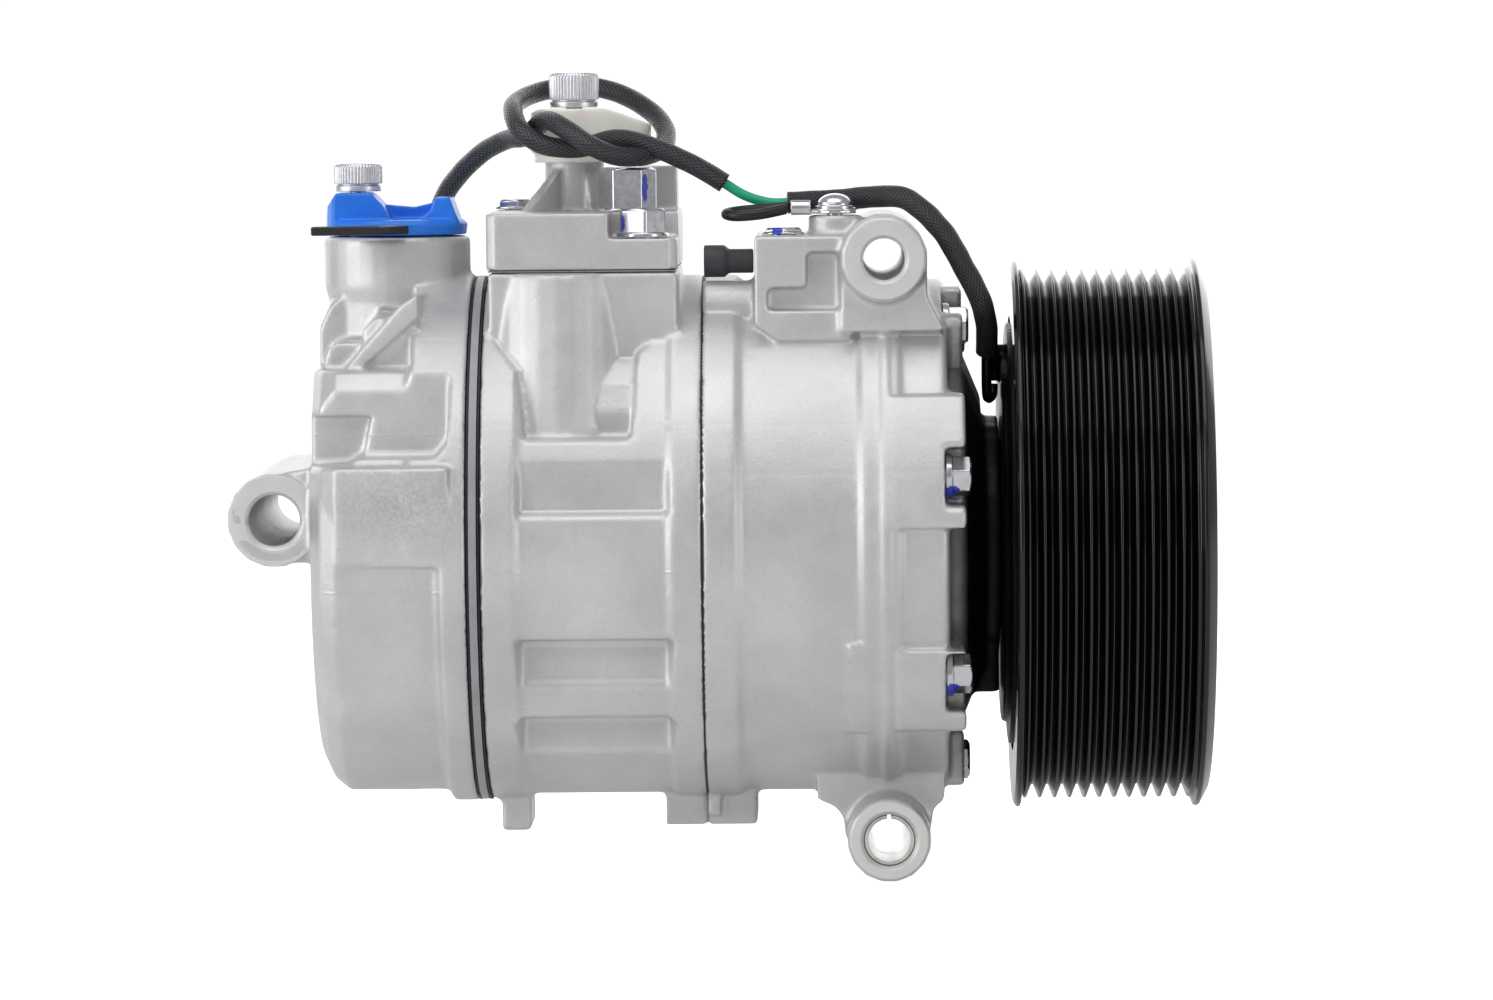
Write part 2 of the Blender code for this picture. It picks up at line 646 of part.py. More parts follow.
def swash_plate():
    """Disc with a hub round the ball sleeve and one drive arm on its dead-centre side."""
    hub = 17.5
    profile = [
        (-7.0, 13.5), (-7.0, hub), (-PLATE_HALF, hub + 2.0), (-PLATE_HALF, PLATE_R), (PLATE_HALF, PLATE_R),
        (PLATE_HALF, hub + 2.0), (7.0, hub), (7.0, 13.5),
    ]
    plate = turned(profile, 32)
    arm = box((2.0, 15.0), (-3.6, 3.6), (18.6, 26.5))
    turn_about_x(arm, 90.0 - TOP_DEAD_CENTRE)
    join(plate, arm)
    plate.data.transform(Matrix.Translation((PLATE_X * MM, 0, 0)))
    set_on_x(plate, PLATE_X)
    return plate


def swash_sleeve():
    """Ball that slides on the shaft and carries the swash plate."""
    ball_r = 12.9
    half = 7.6
    inner = SHAFT_R + GAP
    count = 6
    arc = [-half + 2 * half * k / count for k in range(count + 1)]
    profile = [(-half, inner)] + [(x, sqrt(ball_r ** 2 - x ** 2)) for x in arc] + [(half, inner)]
    sleeve = turned(profile, 20)
    sleeve.location = (PLATE_X * MM, 0, 0)
    return sleeve


def spring_coil(start, end, radius, wire, turns):
    """Helical spring round the shaft, as a tube along a helix."""
    per_turn = 10
    count = int(turns * per_turn) + 1
    line = []
    for k in range(count):
        share = k / (count - 1)
        angle = 2 * pi * turns * share
        line.append((start + (end - start) * share, radius * cos(angle), radius * sin(angle)))
    return tube(line, wire, 2)


def piston():
    """Hollow-necked piston on the X axis, with its bridge round the plate's rim towards +Z."""
    rear = BLOCK_REAR + 0.5
    yoke_rear = PLATE_X - YOKE_HALF
    crown = turned(
        [(rear, 0), (rear, PISTON_R - 0.6), (rear + 0.6, PISTON_R), (-60.0, PISTON_R), (-60.0, 8.4),
         (yoke_rear + 1.0, 8.4), (yoke_rear + 1.0, 0)],
        MEDIUM,
    )
    half_width = 7.5
    low = -6.2
    high = 15.1
    yoke = box((yoke_rear, PLATE_X + YOKE_HALF), (-half_width, half_width), (low, high))
    slot = box((PLATE_X - YOKE_HALF_GAP, PLATE_X + YOKE_HALF_GAP), (-20.0, 20.0), (low - 5.0, 8.8))
    cut(yoke, slot)
    return join(crown, yoke)


# ---------------------------------------------------------------- clutch

def pulley():
    """Grooved rim, friction face and bearing hub, turned in one piece."""
    outline = [(PULLEY_REAR, 52.0), (PULLEY_REAR, 64.8), (30.9, PULLEY_R), (31.7, PULLEY_R), (32.2, 62.6)]
    for k in range(GROOVES + 1):
        tip = FIRST_RIDGE + RIB_PITCH * k
        outline.append((tip, RIDGE_R))
        if k < GROOVES:
            outline.append((tip + RIB_PITCH / 2, GROOVE_R))
    outline += [
        (72.9, 64.2), (73.3, PULLEY_R), (74.3, PULLEY_R), (PULLEY_FRONT, 61.6), (PULLEY_FRONT, 59.6),
        (74.6, 58.6), (63.0, 58.2), (63.0, 29.0), (61.8, 27.8), (38.6, 27.8), (38.6, 30.6),
        (56.4, 30.6), (56.4, 52.0),
    ]
    return turned(outline, 28)


def clutch_coil():
    """Ring magnet on its backing plate, with the clip that holds the lead."""
    profile = [
        (27.6, 22.4), (27.6, 45.0), (29.2, 45.0), (29.2, 50.4), (31.6, 50.4), (31.6, 49.0), (53.0, 49.0),
        (53.0, 33.4), (31.6, 33.4), (31.6, 22.4),
    ]
    coil = turned(profile, 32)
    clip = box((25.2, 28.2), (-12.0, -6.0), (40.3, 45.4))
    relief = turned([(36.9, 0), (36.9, 1.5), (39.0, 2.3), (41.0, 2.3), (41.0, 0)], 12, "z", (26.2, -9.0))
    return join(coil, clip, relief)


def armature_plate():
    plate = ring("x", (0, 0), 31.5, 56.4, 63.7, 66.7, 32)
    for k in range(3):
        slot = prism([(-3.0, 44.0), (3.0, 44.0), (3.0, 50.0), (-3.0, 50.0)], "x", 60.0, 70.0)
        cut(plate, turn_about_x(slot, 120.0 * k))
    return plate


def clutch_hub():
    profile = [
        (62.8, 6.4), (62.8, 12.0), (69.2, 12.0), (69.2, 30.0), (68.9, 31.0), (68.9, 49.0), (70.9, 49.0),
        (71.2, 31.0), (71.2, 6.4),
    ]
    return turned(profile, 24)


def hub_bolt():
    body = rod("x", (0, 0), 2.5, 60.8, 71.9, 12)
    head = turned([(71.5, 0), (71.5, 6.6), (72.6, 6.6), (72.6, 5.6), (75.9, 5.2), (75.9, 0)], 6)
    return join(head, body)


# ---------------------------------------------------------------- shipping caps

def suction_cap():
    """Saddle-shaped cover pressed over the suction port."""
    base_z = SUCTION_TOP + GAP
    base = turned(
        [(base_z, 0), (base_z, 16.6), (base_z + 2.6, 16.9), (base_z + 3.6, 15.9), (base_z + 3.6, 0)],
        32,
        "z",
        (SUCTION_X, 0),
    )
    left = [(-132.8, 75.0), (-132.4, 79.6), (-130.0, 82.8), (-121.8, 82.8), (-119.0, 80.0), (-116.4, 75.0)]
    right = [(-112.4, 75.0), (-107.6, 78.2), (-106.4, 81.6), (-102.9, 81.6), (-100.4, 75.0)]
    middle = [(-122.0, 75.0), (-122.0, 80.2), (-112.0, 79.2), (-106.0, 80.6), (-104.0, 75.0)]
    join(base, prism(left, "y", -8.6, 8.6))
    join(base, prism(middle, "y", 1.5, 7.4))
    join(base, prism(right, "y", -8.9, 8.9))
    trim = rod("z", (SUCTION_X, 0), 17.0, 70.0, 90.0, 32)
    keep(base, trim)
    cut(base, rod("z", (-125.2, 0), 2.3, 70.0, 90.0, 12))
    return base


def suction_cap_tab():
    """Flat pull tab lying against the front of the suction cap."""
    outline = [(-134.6, -28.6), (-118.4, -30.4), (-114.0, -21.4), (-112.0, -17.8), (-127.6, -17.8)]
    outline.append((-134.6, -22.8))
    return prism(outline, "z", 73.1, 75.2)


def knurled_screw(x, y, seat, shank_end, radius, height):
    body = turned(
        [
            (shank_end, 0), (shank_end, 2.0), (seat, 2.0), (seat, radius - 0.9),
            (seat + 1.5, radius - 0.3), (seat + 1.9, radius), (seat + height - 0.6, radius),
            (seat + height, radius - 0.6), (seat + height, 0),
        ],
        16,
        "z",
        (x, y),
    )
    return body


def discharge_cap():
    """Milky cover on the discharge port: a round head drawn out to the right, thinning towards its end."""
    base_z = DISCHARGE_TOP + GAP
    top = 102.4
    sides = 24
    outline = []
    for k in range(sides + 1):
        angle = pi / 2 + pi * k / sides
        outline.append((DISCHARGE_X + 10.4 * cos(angle), 10.4 * sin(angle)))
    tip = -60.6
    for k in range(sides // 2 + 1):
        angle = -pi / 2 + pi * k / (sides // 2)
        outline.append((tip + 5.6 * cos(angle), 5.6 * sin(angle)))
    cap = prism(outline, "z", base_z, top)
    left_slope = [(-90.0, 104.0), (-90.0, 98.6), (-81.5, top), (-81.5, 104.0)]
    cut(cap, prism(left_slope, "y", -20.0, 20.0))
    right_slope = [(-66.0, 104.0), (-66.0, top - 0.01), (-54.0, 98.2), (-50.0, 98.2), (-50.0, 104.0)]
    cut(cap, prism(right_slope, "y", -20.0, 20.0))
    under = [(-64.0, 90.0), (-64.0, 92.5), (-58.5, 95.4), (-50.0, 95.4), (-50.0, 90.0)]
    cut(cap, prism(under, "y", -20.0, 20.0))
    skirt = ring("z", (DISCHARGE_X, 0), 7.5, 9.6, 89.6, base_z + 1.0, 24)
    join(cap, skirt)
    cut(cap, rod("z", (DISCHARGE_X, 0), 2.3, 90.0, 104.0, 12))
    return cap


# ---------------------------------------------------------------- lead of the clutch coil

def smooth_line(route, spacing):
    """Points at an even spacing on a Catmull-Rom curve through the route."""
    points = [Vector(p) for p in route]
    padded = [points[0] * 2 - points[1]] + points + [points[-1] * 2 - points[-2]]
    fine = []
    steps = 16
    for a, b, c, d in zip(padded, padded[1:], padded[2:], padded[3:]):
        for k in range(steps):
            t = k / steps
            fine.append(0.5 * ((2 * b) + (c - a) * t + (2 * a - 5 * b + 4 * c - d) * t ** 2
                               + (3 * b - a - 3 * c + d) * t ** 3))
    fine.append(points[-1])
    lengths = [0.0]
    for one, two in zip(fine, fine[1:]):
        lengths.append(lengths[-1] + (two - one).length)
    count = max(2, round(lengths[-1] / spacing))
    line = []
    index = 0
    for k in range(count + 1):
        target = lengths[-1] * k / count
        while index < len(lengths) - 2 and lengths[index + 1] < target:
            index += 1
        span = lengths[index + 1] - lengths[index]
        share = (target - lengths[index]) / span
        line.append(tuple(fine[index].lerp(fine[index + 1], share)))
    return line


def tube(line, diameter, resolution):
    """A round tube along a line of points, closed at both ends."""
    curve = bpy.data.curves.new("tube", "CURVE")
    curve.dimensions = "3D"
    curve.bevel_depth = diameter / 2 * MM
    curve.bevel_resolution = resolution
    curve.use_fill_caps = True
    spline = curve.splines.new("POLY")
    spline.points.add(len(line) - 1)
    for point, place in zip(spline.points, line):
        point.co = (*(Vector(place) * MM), 1.0)
    made = bpy.data.objects.new("tube", curve)
    bpy.context.scene.collection.objects.link(made)
    return made


WIRE_DIAMETER = 2.4
FRONT_SLEEVE_DIAMETER = 5.4
REAR_SLEEVE_DIAMETER = 4.8
EARTH_WIRE_DIAMETER = 2.6

# The lead's route: clip, front sleeve over the upper eye, bare wire, rear sleeve with one loop
# round the discharge cap, then down behind the suction cap to the connector.
LEAD_ROUTE = [
    (26.0, -9.0, 36.1),
    (25.8, -9.8, 33.6),
    (24.6, -12.8, 33.2),
    (24.3, -16.6, 38.4),
    (24.3, -20.0, 44.6),
    (24.2, -25.5, 50.5),
    (22.6, -30.5, 57.0),
    (18.8, -31.5, 64.6),
    (13.6, -30.3, 73.4),
    (5.8, -26.0, 80.4),
    (-1.5, -21.0, 81.1),
    (-10.5, -17.0, 80.3),
    (-17.5, -17.5, 80.0),
    (-22.5, -18.0, 79.8),
    (-27.0, -18.3, 79.9),
    (-32.5, -18.6, 81.6),
    (-37.4, -18.8, 84.6),
    (-43.8, -18.9, 88.5),
    (-53.1, -18.6, 92.8),
    (-62.2, -18.2, 95.2),
    (-71.6, -18.4, 93.2),
    (-79.9, -17.8, 93.9),
    (-85.6, -15.4, 97.6),
    (-87.6, -7.6, 101.6),
    (-87.2, 3.0, 104.0),
    (-82.4, 13.6, 106.4),
    (-73.6, 18.8, 107.8),
    (-65.0, 16.0, 106.6),
    (-57.6, 9.2, 103.2),
    (-52.5, 1.5, 98.8),
    (-51.4, -7.5, 94.6),
    (-54.6, -17.0, 91.6),
    (-61.6, -23.8, 91.1),
    (-68.4, -25.4, 93.6),
    (-74.6, -22.0, 97.6),
    (-79.6, -15.0, 99.6),
    (-84.6, -8.6, 96.0),
    (-89.3, -0.5, 95.2),
    (-95.2, 6.5, 92.4),
    (-101.3, 14.0, 87.2),
    (-106.0, 21.5, 81.0),
    (-108.6, 29.5, 73.0),
    (-109.6, 38.6, 62.6),
    (-110.2, 48.2, 50.6),
    (-110.8, 57.2, 36.0),
    (-111.2, 64.6, 20.0),
    (-111.4, 69.4, 4.0),
    (-111.4, 70.2, -4.0),
]
FRONT_SLEEVE_START = 4
FRONT_SLEEVE_END = 13
REAR_SLEEVE_START = 16

EARTH_WIRE_ROUTE = [
    (-22.2, -21.8, 78.8),
    (-25.5, -21.5, 78.6),
    (-29.6, -21.7, 78.3),
    (-34.2, -22.9, 77.9),
    (-36.8, -26.2, 77.4),
    (-34.4, -29.8, 77.0),
    (-28.8, -30.4, 77.4),
    (-23.0, -28.4, 78.5),
]


def section(route, first, last, spacing):
    """The smooth line between two of a route's points, short of its neighbours by a small gap."""
    begin = smooth_line(route, 1.0)
    one = min(range(len(begin)), key=lambda k: (Vector(begin[k]) - Vector(route[first])).length)
    two = min(range(len(begin)), key=lambda k: (Vector(begin[k]) - Vector(route[last])).length)
    return smooth_line(begin[one:two], spacing)


# ---------------------------------------------------------------- assembly

def casing(looks):
    finish(rear_housing(), "rear_housing", looks["cast"])
    finish(cylinder_block(), "cylinder_block", looks["cast"])
    finish(front_housing(), "front_housing", looks["cast"])
    finish(joint_plate(-97.2, -96.7, 62.8, (), 0.0), "head_gasket", looks["gasket"])
    finish(joint_plate(-96.4, -94.9, 62.6, (36.0,), 4.0), "valve_plate", looks["steel"])
    finish(joint_plate(-94.6, -94.15, 62.8, (40.5,), 13.0), "block_gasket", looks["gasket"])
    finish(muffler_cover(), "muffler_cover", looks["cast"])
    finish(muffler_gasket(), "muffler_gasket", looks["gasket"])
    finish(flange_bolt(-56.5, -29.5, 72.3, 54.0, 6.3, 6.8, 2.6), "cover_bolt_1", looks["plated"])
    finish(flange_bolt(-88.6, 18.0, COVER_TOP + GAP, 58.0, 5.0, 2.4, 2.6), "cover_bolt_2", looks["plated"])
    finish(relief_plug(), "relief_plug", looks["steel"])
    finish(flange_bolt(*OIL_PLUG, 72.6, 63.0, 5.2, 1.6, 3.1), "oil_plug", looks["plated"])
    sleeve = ring("y", (LOWER_EYE[0], LOWER_EYE[1]), 5.0, 5.9, -EYE_HALF + 1.5, EYE_HALF - 1.5, 20)
    eye_x, eye_z = LOWER_EYE[:2]
    cut(sleeve, box((eye_x - 0.5, eye_x + 0.5), (-50.0, 50.0), (eye_z, eye_z + 8.0)))
    finish(sleeve, "eye_sleeve", looks["steel"])
    for k, angle in enumerate(BOLT_ANGLES):
        y, z = around(angle, BOLT_CIRCLE)
        bolt = finish(through_bolt(), f"through_bolt_{k + 1}", looks["plated"])
        bolt.location = (0, y * MM, z * MM)
    pipe_start = BLOCK_FRONT + 0.5
    pipe = turned(
        [(pipe_start, 0), (pipe_start, 3.9), (-37.2, 3.9), (-36.6, 2.9), (-30.6, 2.9), (-30.6, 0)],
        SMALL,
        "x",
        (-20.0, 66.2),
    )
    finish(pipe, "link_pipe", looks["moulded"])
    collar = VALVE_SEAT + GAP
    valve = turned(
        [(34.6, 0), (34.6, 9.0), (collar, 9.0), (collar, 9.6), (collar + 2.6, 9.6), (collar + 3.8, 8.4),
         (collar + 3.8, 0)],
        20,
        "y",
        CONTROL_VALVE,
    )
    finish(valve, "control_valve", looks["steel"])


def running_gear(looks):
    finish(drive_shaft(), "drive_shaft", looks["steel"])
    finish(ring("x", (0, 0), SHAFT_R + GAP, 13.0, -92.0, -74.0, 24), "rear_bearing", looks["bronze"])
    finish(ring("x", (0, 0), SHAFT_R + GAP, 13.0, 12.0, 25.0, 24), "front_bearing", looks["bronze"])
    finish(ring("x", (0, 0), SHAFT_R + GAP, 13.0, 28.0, 37.0, 24), "shaft_seal", looks["rubber"])
    finish(ring("x", (0, 0), SHAFT_R + GAP, 24.0, 8.3, 10.9, 24), "thrust_bearing", looks["steel"])
    finish(lug_plate(), "lug_plate", looks["steel"])
    finish(swash_plate(), "swash_plate", looks["steel"])
    finish(swash_sleeve(), "swash_sleeve", looks["bronze"])
    finish_curve(spring_coil(-21.2, -3.6, 11.2, 2.0, 3.0), "return_spring", looks["steel"])
    for k, angle in enumerate(PISTON_ANGLES):
        y, z = around(angle, PISTON_CIRCLE)
        one = finish(piston(), f"piston_{k + 1}", looks["cast"])
        one.location = (0, y * MM, z * MM)
        one.rotation_euler = (radians(90.0 - angle), 0, 0)


def clutch(looks):
    finish(pulley(), "pulley", looks["black"])
    finish(clutch_coil(), "clutch_coil", looks["black"])
    finish(ring("x", (0, 0), 24.8, 27.5, 40.0, 60.0, 24), "bearing_outer_race", looks["steel"])
    finish(ring("x", (0, 0), 21.3, 24.4, 44.0, 56.0, 24), "bearing_ball_cage", looks["steel"])
    finish(ring("x", (0, 0), 17.6, 20.8, 40.0, 60.0, 24), "bearing_inner_race", looks["steel"])
    finish(armature_plate(), "armature_plate", looks["steel"])
    finish(clutch_hub(), "clutch_hub", looks["steel"])
    finish(ring("x", (0, 0), 32.0, 48.6, 67.1, 68.6, MEDIUM), "damper_ring", looks["rubber"])
    finish(hub_bolt(), "hub_bolt", looks["plated"])


def transport_caps(looks):
    finish(suction_cap(), "suction_cap", looks["blue"])
    finish(suction_cap_tab(), "suction_cap_tab", looks["moulded"])
    finish(knurled_screw(-125.2, 0.0, 83.1, 63.0, 5.9, 6.6), "suction_cap_screw", looks["plated"])
    finish(discharge_cap(), "discharge_cap", looks["milky"])
    finish(knurled_screw(DISCHARGE_X, 0.0, 102.7, 92.0, 6.1, 8.2), "discharge_cap_screw", looks["plated"])


def electrics(looks):
    exit_wire = section(LEAD_ROUTE, 0, FRONT_SLEEVE_START, 3.0)
    finish_curve(tube(exit_wire, WIRE_DIAMETER, 2), "lead_wire_front", looks["moulded"])
    front = section(LEAD_ROUTE, FRONT_SLEEVE_START, FRONT_SLEEVE_END, 8.0)
    finish_curve(tube(front, FRONT_SLEEVE_DIAMETER, 2), "front_sleeve", looks["sleeving"])
    link = section(LEAD_ROUTE, FRONT_SLEEVE_END, REAR_SLEEVE_START, 5.0)
    finish_curve(tube(link, WIRE_DIAMETER, 2), "lead_wire_link", looks["moulded"])
    rear = section(LEAD_ROUTE, REAR_SLEEVE_START, len(LEAD_ROUTE) - 1, 7.0)
    finish_curve(tube(rear, REAR_SLEEVE_DIAMETER, 2), "rear_sleeve", looks["sleeving"])
    earth = smooth_line(EARTH_WIRE_ROUTE, 3.0)
    finish_curve(tube(earth, EARTH_WIRE_DIAMETER, 2), "earth_wire", looks["moulded"])
    terminal = ring("z", EARTH_SCREW, 2.6, 5.2, 77.3, 78.1, SMALL)
    join(terminal, box((-18.0, -15.0), (-29.0, -26.0), (77.3, 78.1)))
    join(terminal, rod("x", (-28.0, 78.8), 1.8, -21.7, -17.0, 12))
    finish(terminal, "earth_terminal", looks["plated"])
    screw = turned(
        [(68.0, 0), (68.0, 2.0), (78.4, 2.0), (78.4, 4.9), (79.2, 4.9), (79.2, 4.6), (80.6, 4.1), (81.8, 2.4),
         (82.2, 0)],
        SMALL,
        "z",
        EARTH_SCREW,
    )
    finish(screw, "earth_screw", looks["plated"])
    housing = box((-116.4, -106.4), (65.7, 74.7), (-24.0, -4.9))
    join(housing, box((-113.4, -109.4), (74.0, 76.6), (-20.0, -8.0)))
    finish(housing, "connector", looks["moulded"])


def finish_curve(piece, name, finish_material):
    piece.name = name
    piece.data.name = name
    piece.data.materials.append(finish_material)
    return piece


def main():
    for old in list(bpy.data.objects):
        bpy.data.objects.remove(old)
    looks = make_materials()
    casing(looks)
    running_gear(looks)
    clutch(looks)
    transport_caps(looks)
    electrics(looks)


main()
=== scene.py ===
"""Looks of a belt-driven swash-plate compressor for vehicle air conditioning.

Lengths here are millimetres. The shaft is the X axis, with the pulley at +X, and +Z is up.
The castings keep the shape of the CAD model and get the soft edges of sand castings. Turned, hexagonal
and knurled pieces, the caps' screws and the lead are made here as fine surfaces.
"""

import json
import math

import bpy
import numpy as np
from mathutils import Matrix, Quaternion, Vector


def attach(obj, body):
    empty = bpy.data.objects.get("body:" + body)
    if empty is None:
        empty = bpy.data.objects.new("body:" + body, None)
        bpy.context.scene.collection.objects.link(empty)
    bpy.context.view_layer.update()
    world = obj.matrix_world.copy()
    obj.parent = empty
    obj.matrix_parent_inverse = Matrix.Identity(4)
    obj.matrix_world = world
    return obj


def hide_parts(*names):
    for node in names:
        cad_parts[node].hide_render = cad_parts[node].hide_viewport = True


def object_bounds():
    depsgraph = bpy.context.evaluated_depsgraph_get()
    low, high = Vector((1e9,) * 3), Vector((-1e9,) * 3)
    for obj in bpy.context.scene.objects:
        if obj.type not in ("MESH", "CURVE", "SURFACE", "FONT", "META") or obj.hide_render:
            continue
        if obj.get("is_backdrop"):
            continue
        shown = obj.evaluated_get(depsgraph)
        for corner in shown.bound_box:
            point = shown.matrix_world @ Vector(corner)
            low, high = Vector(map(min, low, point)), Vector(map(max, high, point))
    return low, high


MM = 0.001
TAU = 2 * math.pi

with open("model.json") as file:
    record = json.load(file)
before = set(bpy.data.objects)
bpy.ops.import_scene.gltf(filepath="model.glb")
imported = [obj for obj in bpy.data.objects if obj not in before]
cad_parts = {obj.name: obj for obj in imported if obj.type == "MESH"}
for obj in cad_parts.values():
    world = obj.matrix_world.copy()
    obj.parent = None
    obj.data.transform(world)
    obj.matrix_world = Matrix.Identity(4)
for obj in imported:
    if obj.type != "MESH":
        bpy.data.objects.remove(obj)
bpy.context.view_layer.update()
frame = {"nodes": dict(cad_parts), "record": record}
NODES = frame["nodes"]
SLOT_OF = {row["node"]: row["material_slot"] for row in frame["record"]["subparts"]}

# Plain sizes that several pieces share
JOINT_PLANES = (-97.5, -93.9, -42.8, -42.5)
EYES = {"upper": (0.0, 66.9, 9.3, 4.9), "lower": (0.3, -69.0, 9.0, 6.1), "rear": (-142.8, 7.1, 10.6, 6.07)}
EYE_HALF = 45.0
BOLT_CIRCLE = 54.0
BOLT_ANGLES = [17.9 + 360.0 / 7 * k for k in range(7)]
SPOT_FACE = 13.6
DISCHARGE_X = -73.4
PULLEY_R = 65.5
FIRST_RIB = 33.0
RIB_PITCH = 3.56
GROOVES = 11
CAD_SIDES = 32  # sides of the CAD model's large round parts
CONTROL_VALVE = (-121.5, -17.0)  # x and z
EARTH_SCREW = (-11.3, -25.0)  # x and y
LEAD_DIAMETER = 2.4
EARTH_DIAMETER = 2.6


# ---------------------------------------------------------------- node materials

def linear(code):
    """Linear RGBA of an sRGB hex colour."""
    parts = [int(code[i : i + 2], 16) / 255 for i in (1, 3, 5)]
    return tuple(c / 12.92 if c <= 0.04045 else ((c + 0.055) / 1.055) ** 2.4 for c in parts) + (1.0,)


def add(tree, kind, settings=None, sockets=None):
    """Adds a node with its settings; a socket's value is a number, a colour, or another node's output."""
    made = tree.nodes.new(kind)
    for name, value in (settings or {}).items():
        setattr(made, name, value)
    for name, value in (sockets or {}).items():
        if isinstance(value, bpy.types.NodeSocket):
            tree.links.new(value, made.inputs[name])
        else:
            made.inputs[name].default_value = value
    return made


def math_node(tree, operation, first, second=0.0):
    return add(tree, "ShaderNodeMath", {"operation": operation}, {0: first, 1: second}).outputs[0]


def times(tree, first, second):
    return math_node(tree, "MULTIPLY", first, second)


def plus(tree, first, second):
    return math_node(tree, "ADD", first, second)


def noise(tree, place, size_mm, detail=3.0, roughness=0.55):
    """Noise whose lumps are about size_mm across."""
    sockets = {"Vector": place, "Scale": 1000.0 / size_mm, "Detail": detail, "Roughness": roughness}
    return add(tree, "ShaderNodeTexNoise", None, sockets).outputs["Fac"]


def ramp(tree, value, low, high, start=0.0, end=1.0):
    """value from low to high mapped to start to end, held at both ends."""
    sockets = {"Value": value, "From Min": low, "From Max": high, "To Min": start, "To Max": end}
    return add(tree, "ShaderNodeMapRange", {"clamp": True}, sockets).outputs[0]


def blend_colour(tree, share, one, two):
    made = add(tree, "ShaderNodeMix", {"data_type": "RGBA"})
    for socket, value in ((made.inputs[0], share), (made.inputs[6], one), (made.inputs[7], two)):
        if isinstance(value, bpy.types.NodeSocket):
            tree.links.new(value, socket)
        else:
            socket.default_value = value
    return made.outputs[2]


def bump(tree, height, depth_mm, strength=1.0, over=None):
    sockets = {"Height": height, "Distance": depth_mm * MM, "Strength": strength}
    if over is not None:
        sockets["Normal"] = over
    return add(tree, "ShaderNodeBump", None, sockets).outputs["Normal"]


def start(name):
    """A material with only a Principled shader, and its Object coordinates in metres."""
    made = bpy.data.materials.new(name)
    made.use_nodes = True
    tree = made.node_tree
    shader = tree.nodes["Principled BSDF"]
    place = add(tree, "ShaderNodeTexCoord").outputs["Object"]
    return made, tree, shader, place


def put(tree, shader, **sockets):
    for name, value in sockets.items():
        socket = shader.inputs[name.replace("_", " ")]
        if isinstance(value, bpy.types.NodeSocket):
            tree.links.new(value, socket)
        else:
            socket.default_value = value


def distance_from(tree, place, centre_mm, scale=(1.0, 1.0, 1.0)):
    """Millimetres from a point, with each axis stretched by scale."""
    def vector_node(operation, sockets):
        return add(tree, "ShaderNodeVectorMath", {"operation": operation}, sockets)

    shifted = vector_node("SUBTRACT", {0: place, 1: [c * MM for c in centre_mm]})
    sized = vector_node("MULTIPLY", {0: shifted.outputs[0], 1: [s / MM for s in scale]})
    return vector_node("LENGTH", {0: sized.outputs[0]}).outputs["Value"]


def cast_aluminium():
    """Bare sand-cast aluminium, bead-blasted: fine grain, faint blotches, satin sheen."""
    made, tree, shader, place = start("cast_aluminium_blasted")
    blotch = noise(tree, place, 26.0, 4.0)
    patch = noise(tree, place, 9.0, 5.0, 0.65)
    tone = ramp(tree, plus(tree, blotch, times(tree, patch, 0.4)), 0.5, 0.95)
    colour = blend_colour(tree, tone, linear("#CBC9C8"), linear("#DDDBDA"))
    # Sooty, grainier patch on the arm of the rear eye
    patch_far = distance_from(tree, place, (-113.0, -58.0, 11.0), (0.55, 0.6, 1.0))
    speck = noise(tree, place, 0.9, 2.0, 0.8)
    stain = times(tree, ramp(tree, patch_far, 3.0, 13.0, 0.5, 0.0), ramp(tree, speck, 0.35, 0.7))
    colour = blend_colour(tree, stain, colour, linear("#8E96A3"))
    grain = noise(tree, place, 0.55, 3.0, 0.6)
    colour = blend_colour(tree, ramp(tree, grain, 0.56, 0.74, 0.0, 0.3), colour, linear("#9FA2A8"))
    lumps = noise(tree, place, 3.2, 3.0, 0.5)
    # Painted shade on the nose, inside the ring of bolts: the shadowed recess behind the lugs is coloured
    # near black
    ahead = ramp(tree, add(tree, "ShaderNodeSeparateXYZ", None, {0: place}).outputs[0], 0.0146, 0.0152)
    within = ramp(tree, distance_from(tree, place, (0, 0, 0), (0.0, 1.0, 1.0)), 42.0, 46.0, 1.0, 0.0)
    colour = blend_colour(tree, times(tree, ahead, within), colour, linear("#1C1C1F"))
    # Parting lines of the casting dies, as (middle in x, half length, height z)
    seams = 0.0
    for middle, half, height in ((-119.0, 15.0, 27.0), (-117.0, 14.0, -9.0), (-69.0, 22.0, -4.5)):
        line = ramp(tree, distance_from(tree, place, (0, 0, height), (0, 0, 1)), 0.05, 0.5, 1.0, 0.0)
        span = ramp(tree, distance_from(tree, place, (middle, 0, 0), (1, 0, 0)), half - 1.0, half, 1.0, 0.0)
        seams = plus(tree, times(tree, line, span), seams)
    normal = bump(tree, seams, 0.10, 0.8)
    normal = bump(tree, lumps, 0.10, 0.5, normal)
    normal = bump(tree, grain, 0.08, 0.95, normal)
    rough = ramp(tree, patch, 0.3, 0.7, 0.40, 0.52)
    put(tree, shader, Base_Color=colour, Metallic=0.62, Roughness=rough, Normal=normal)
    return made


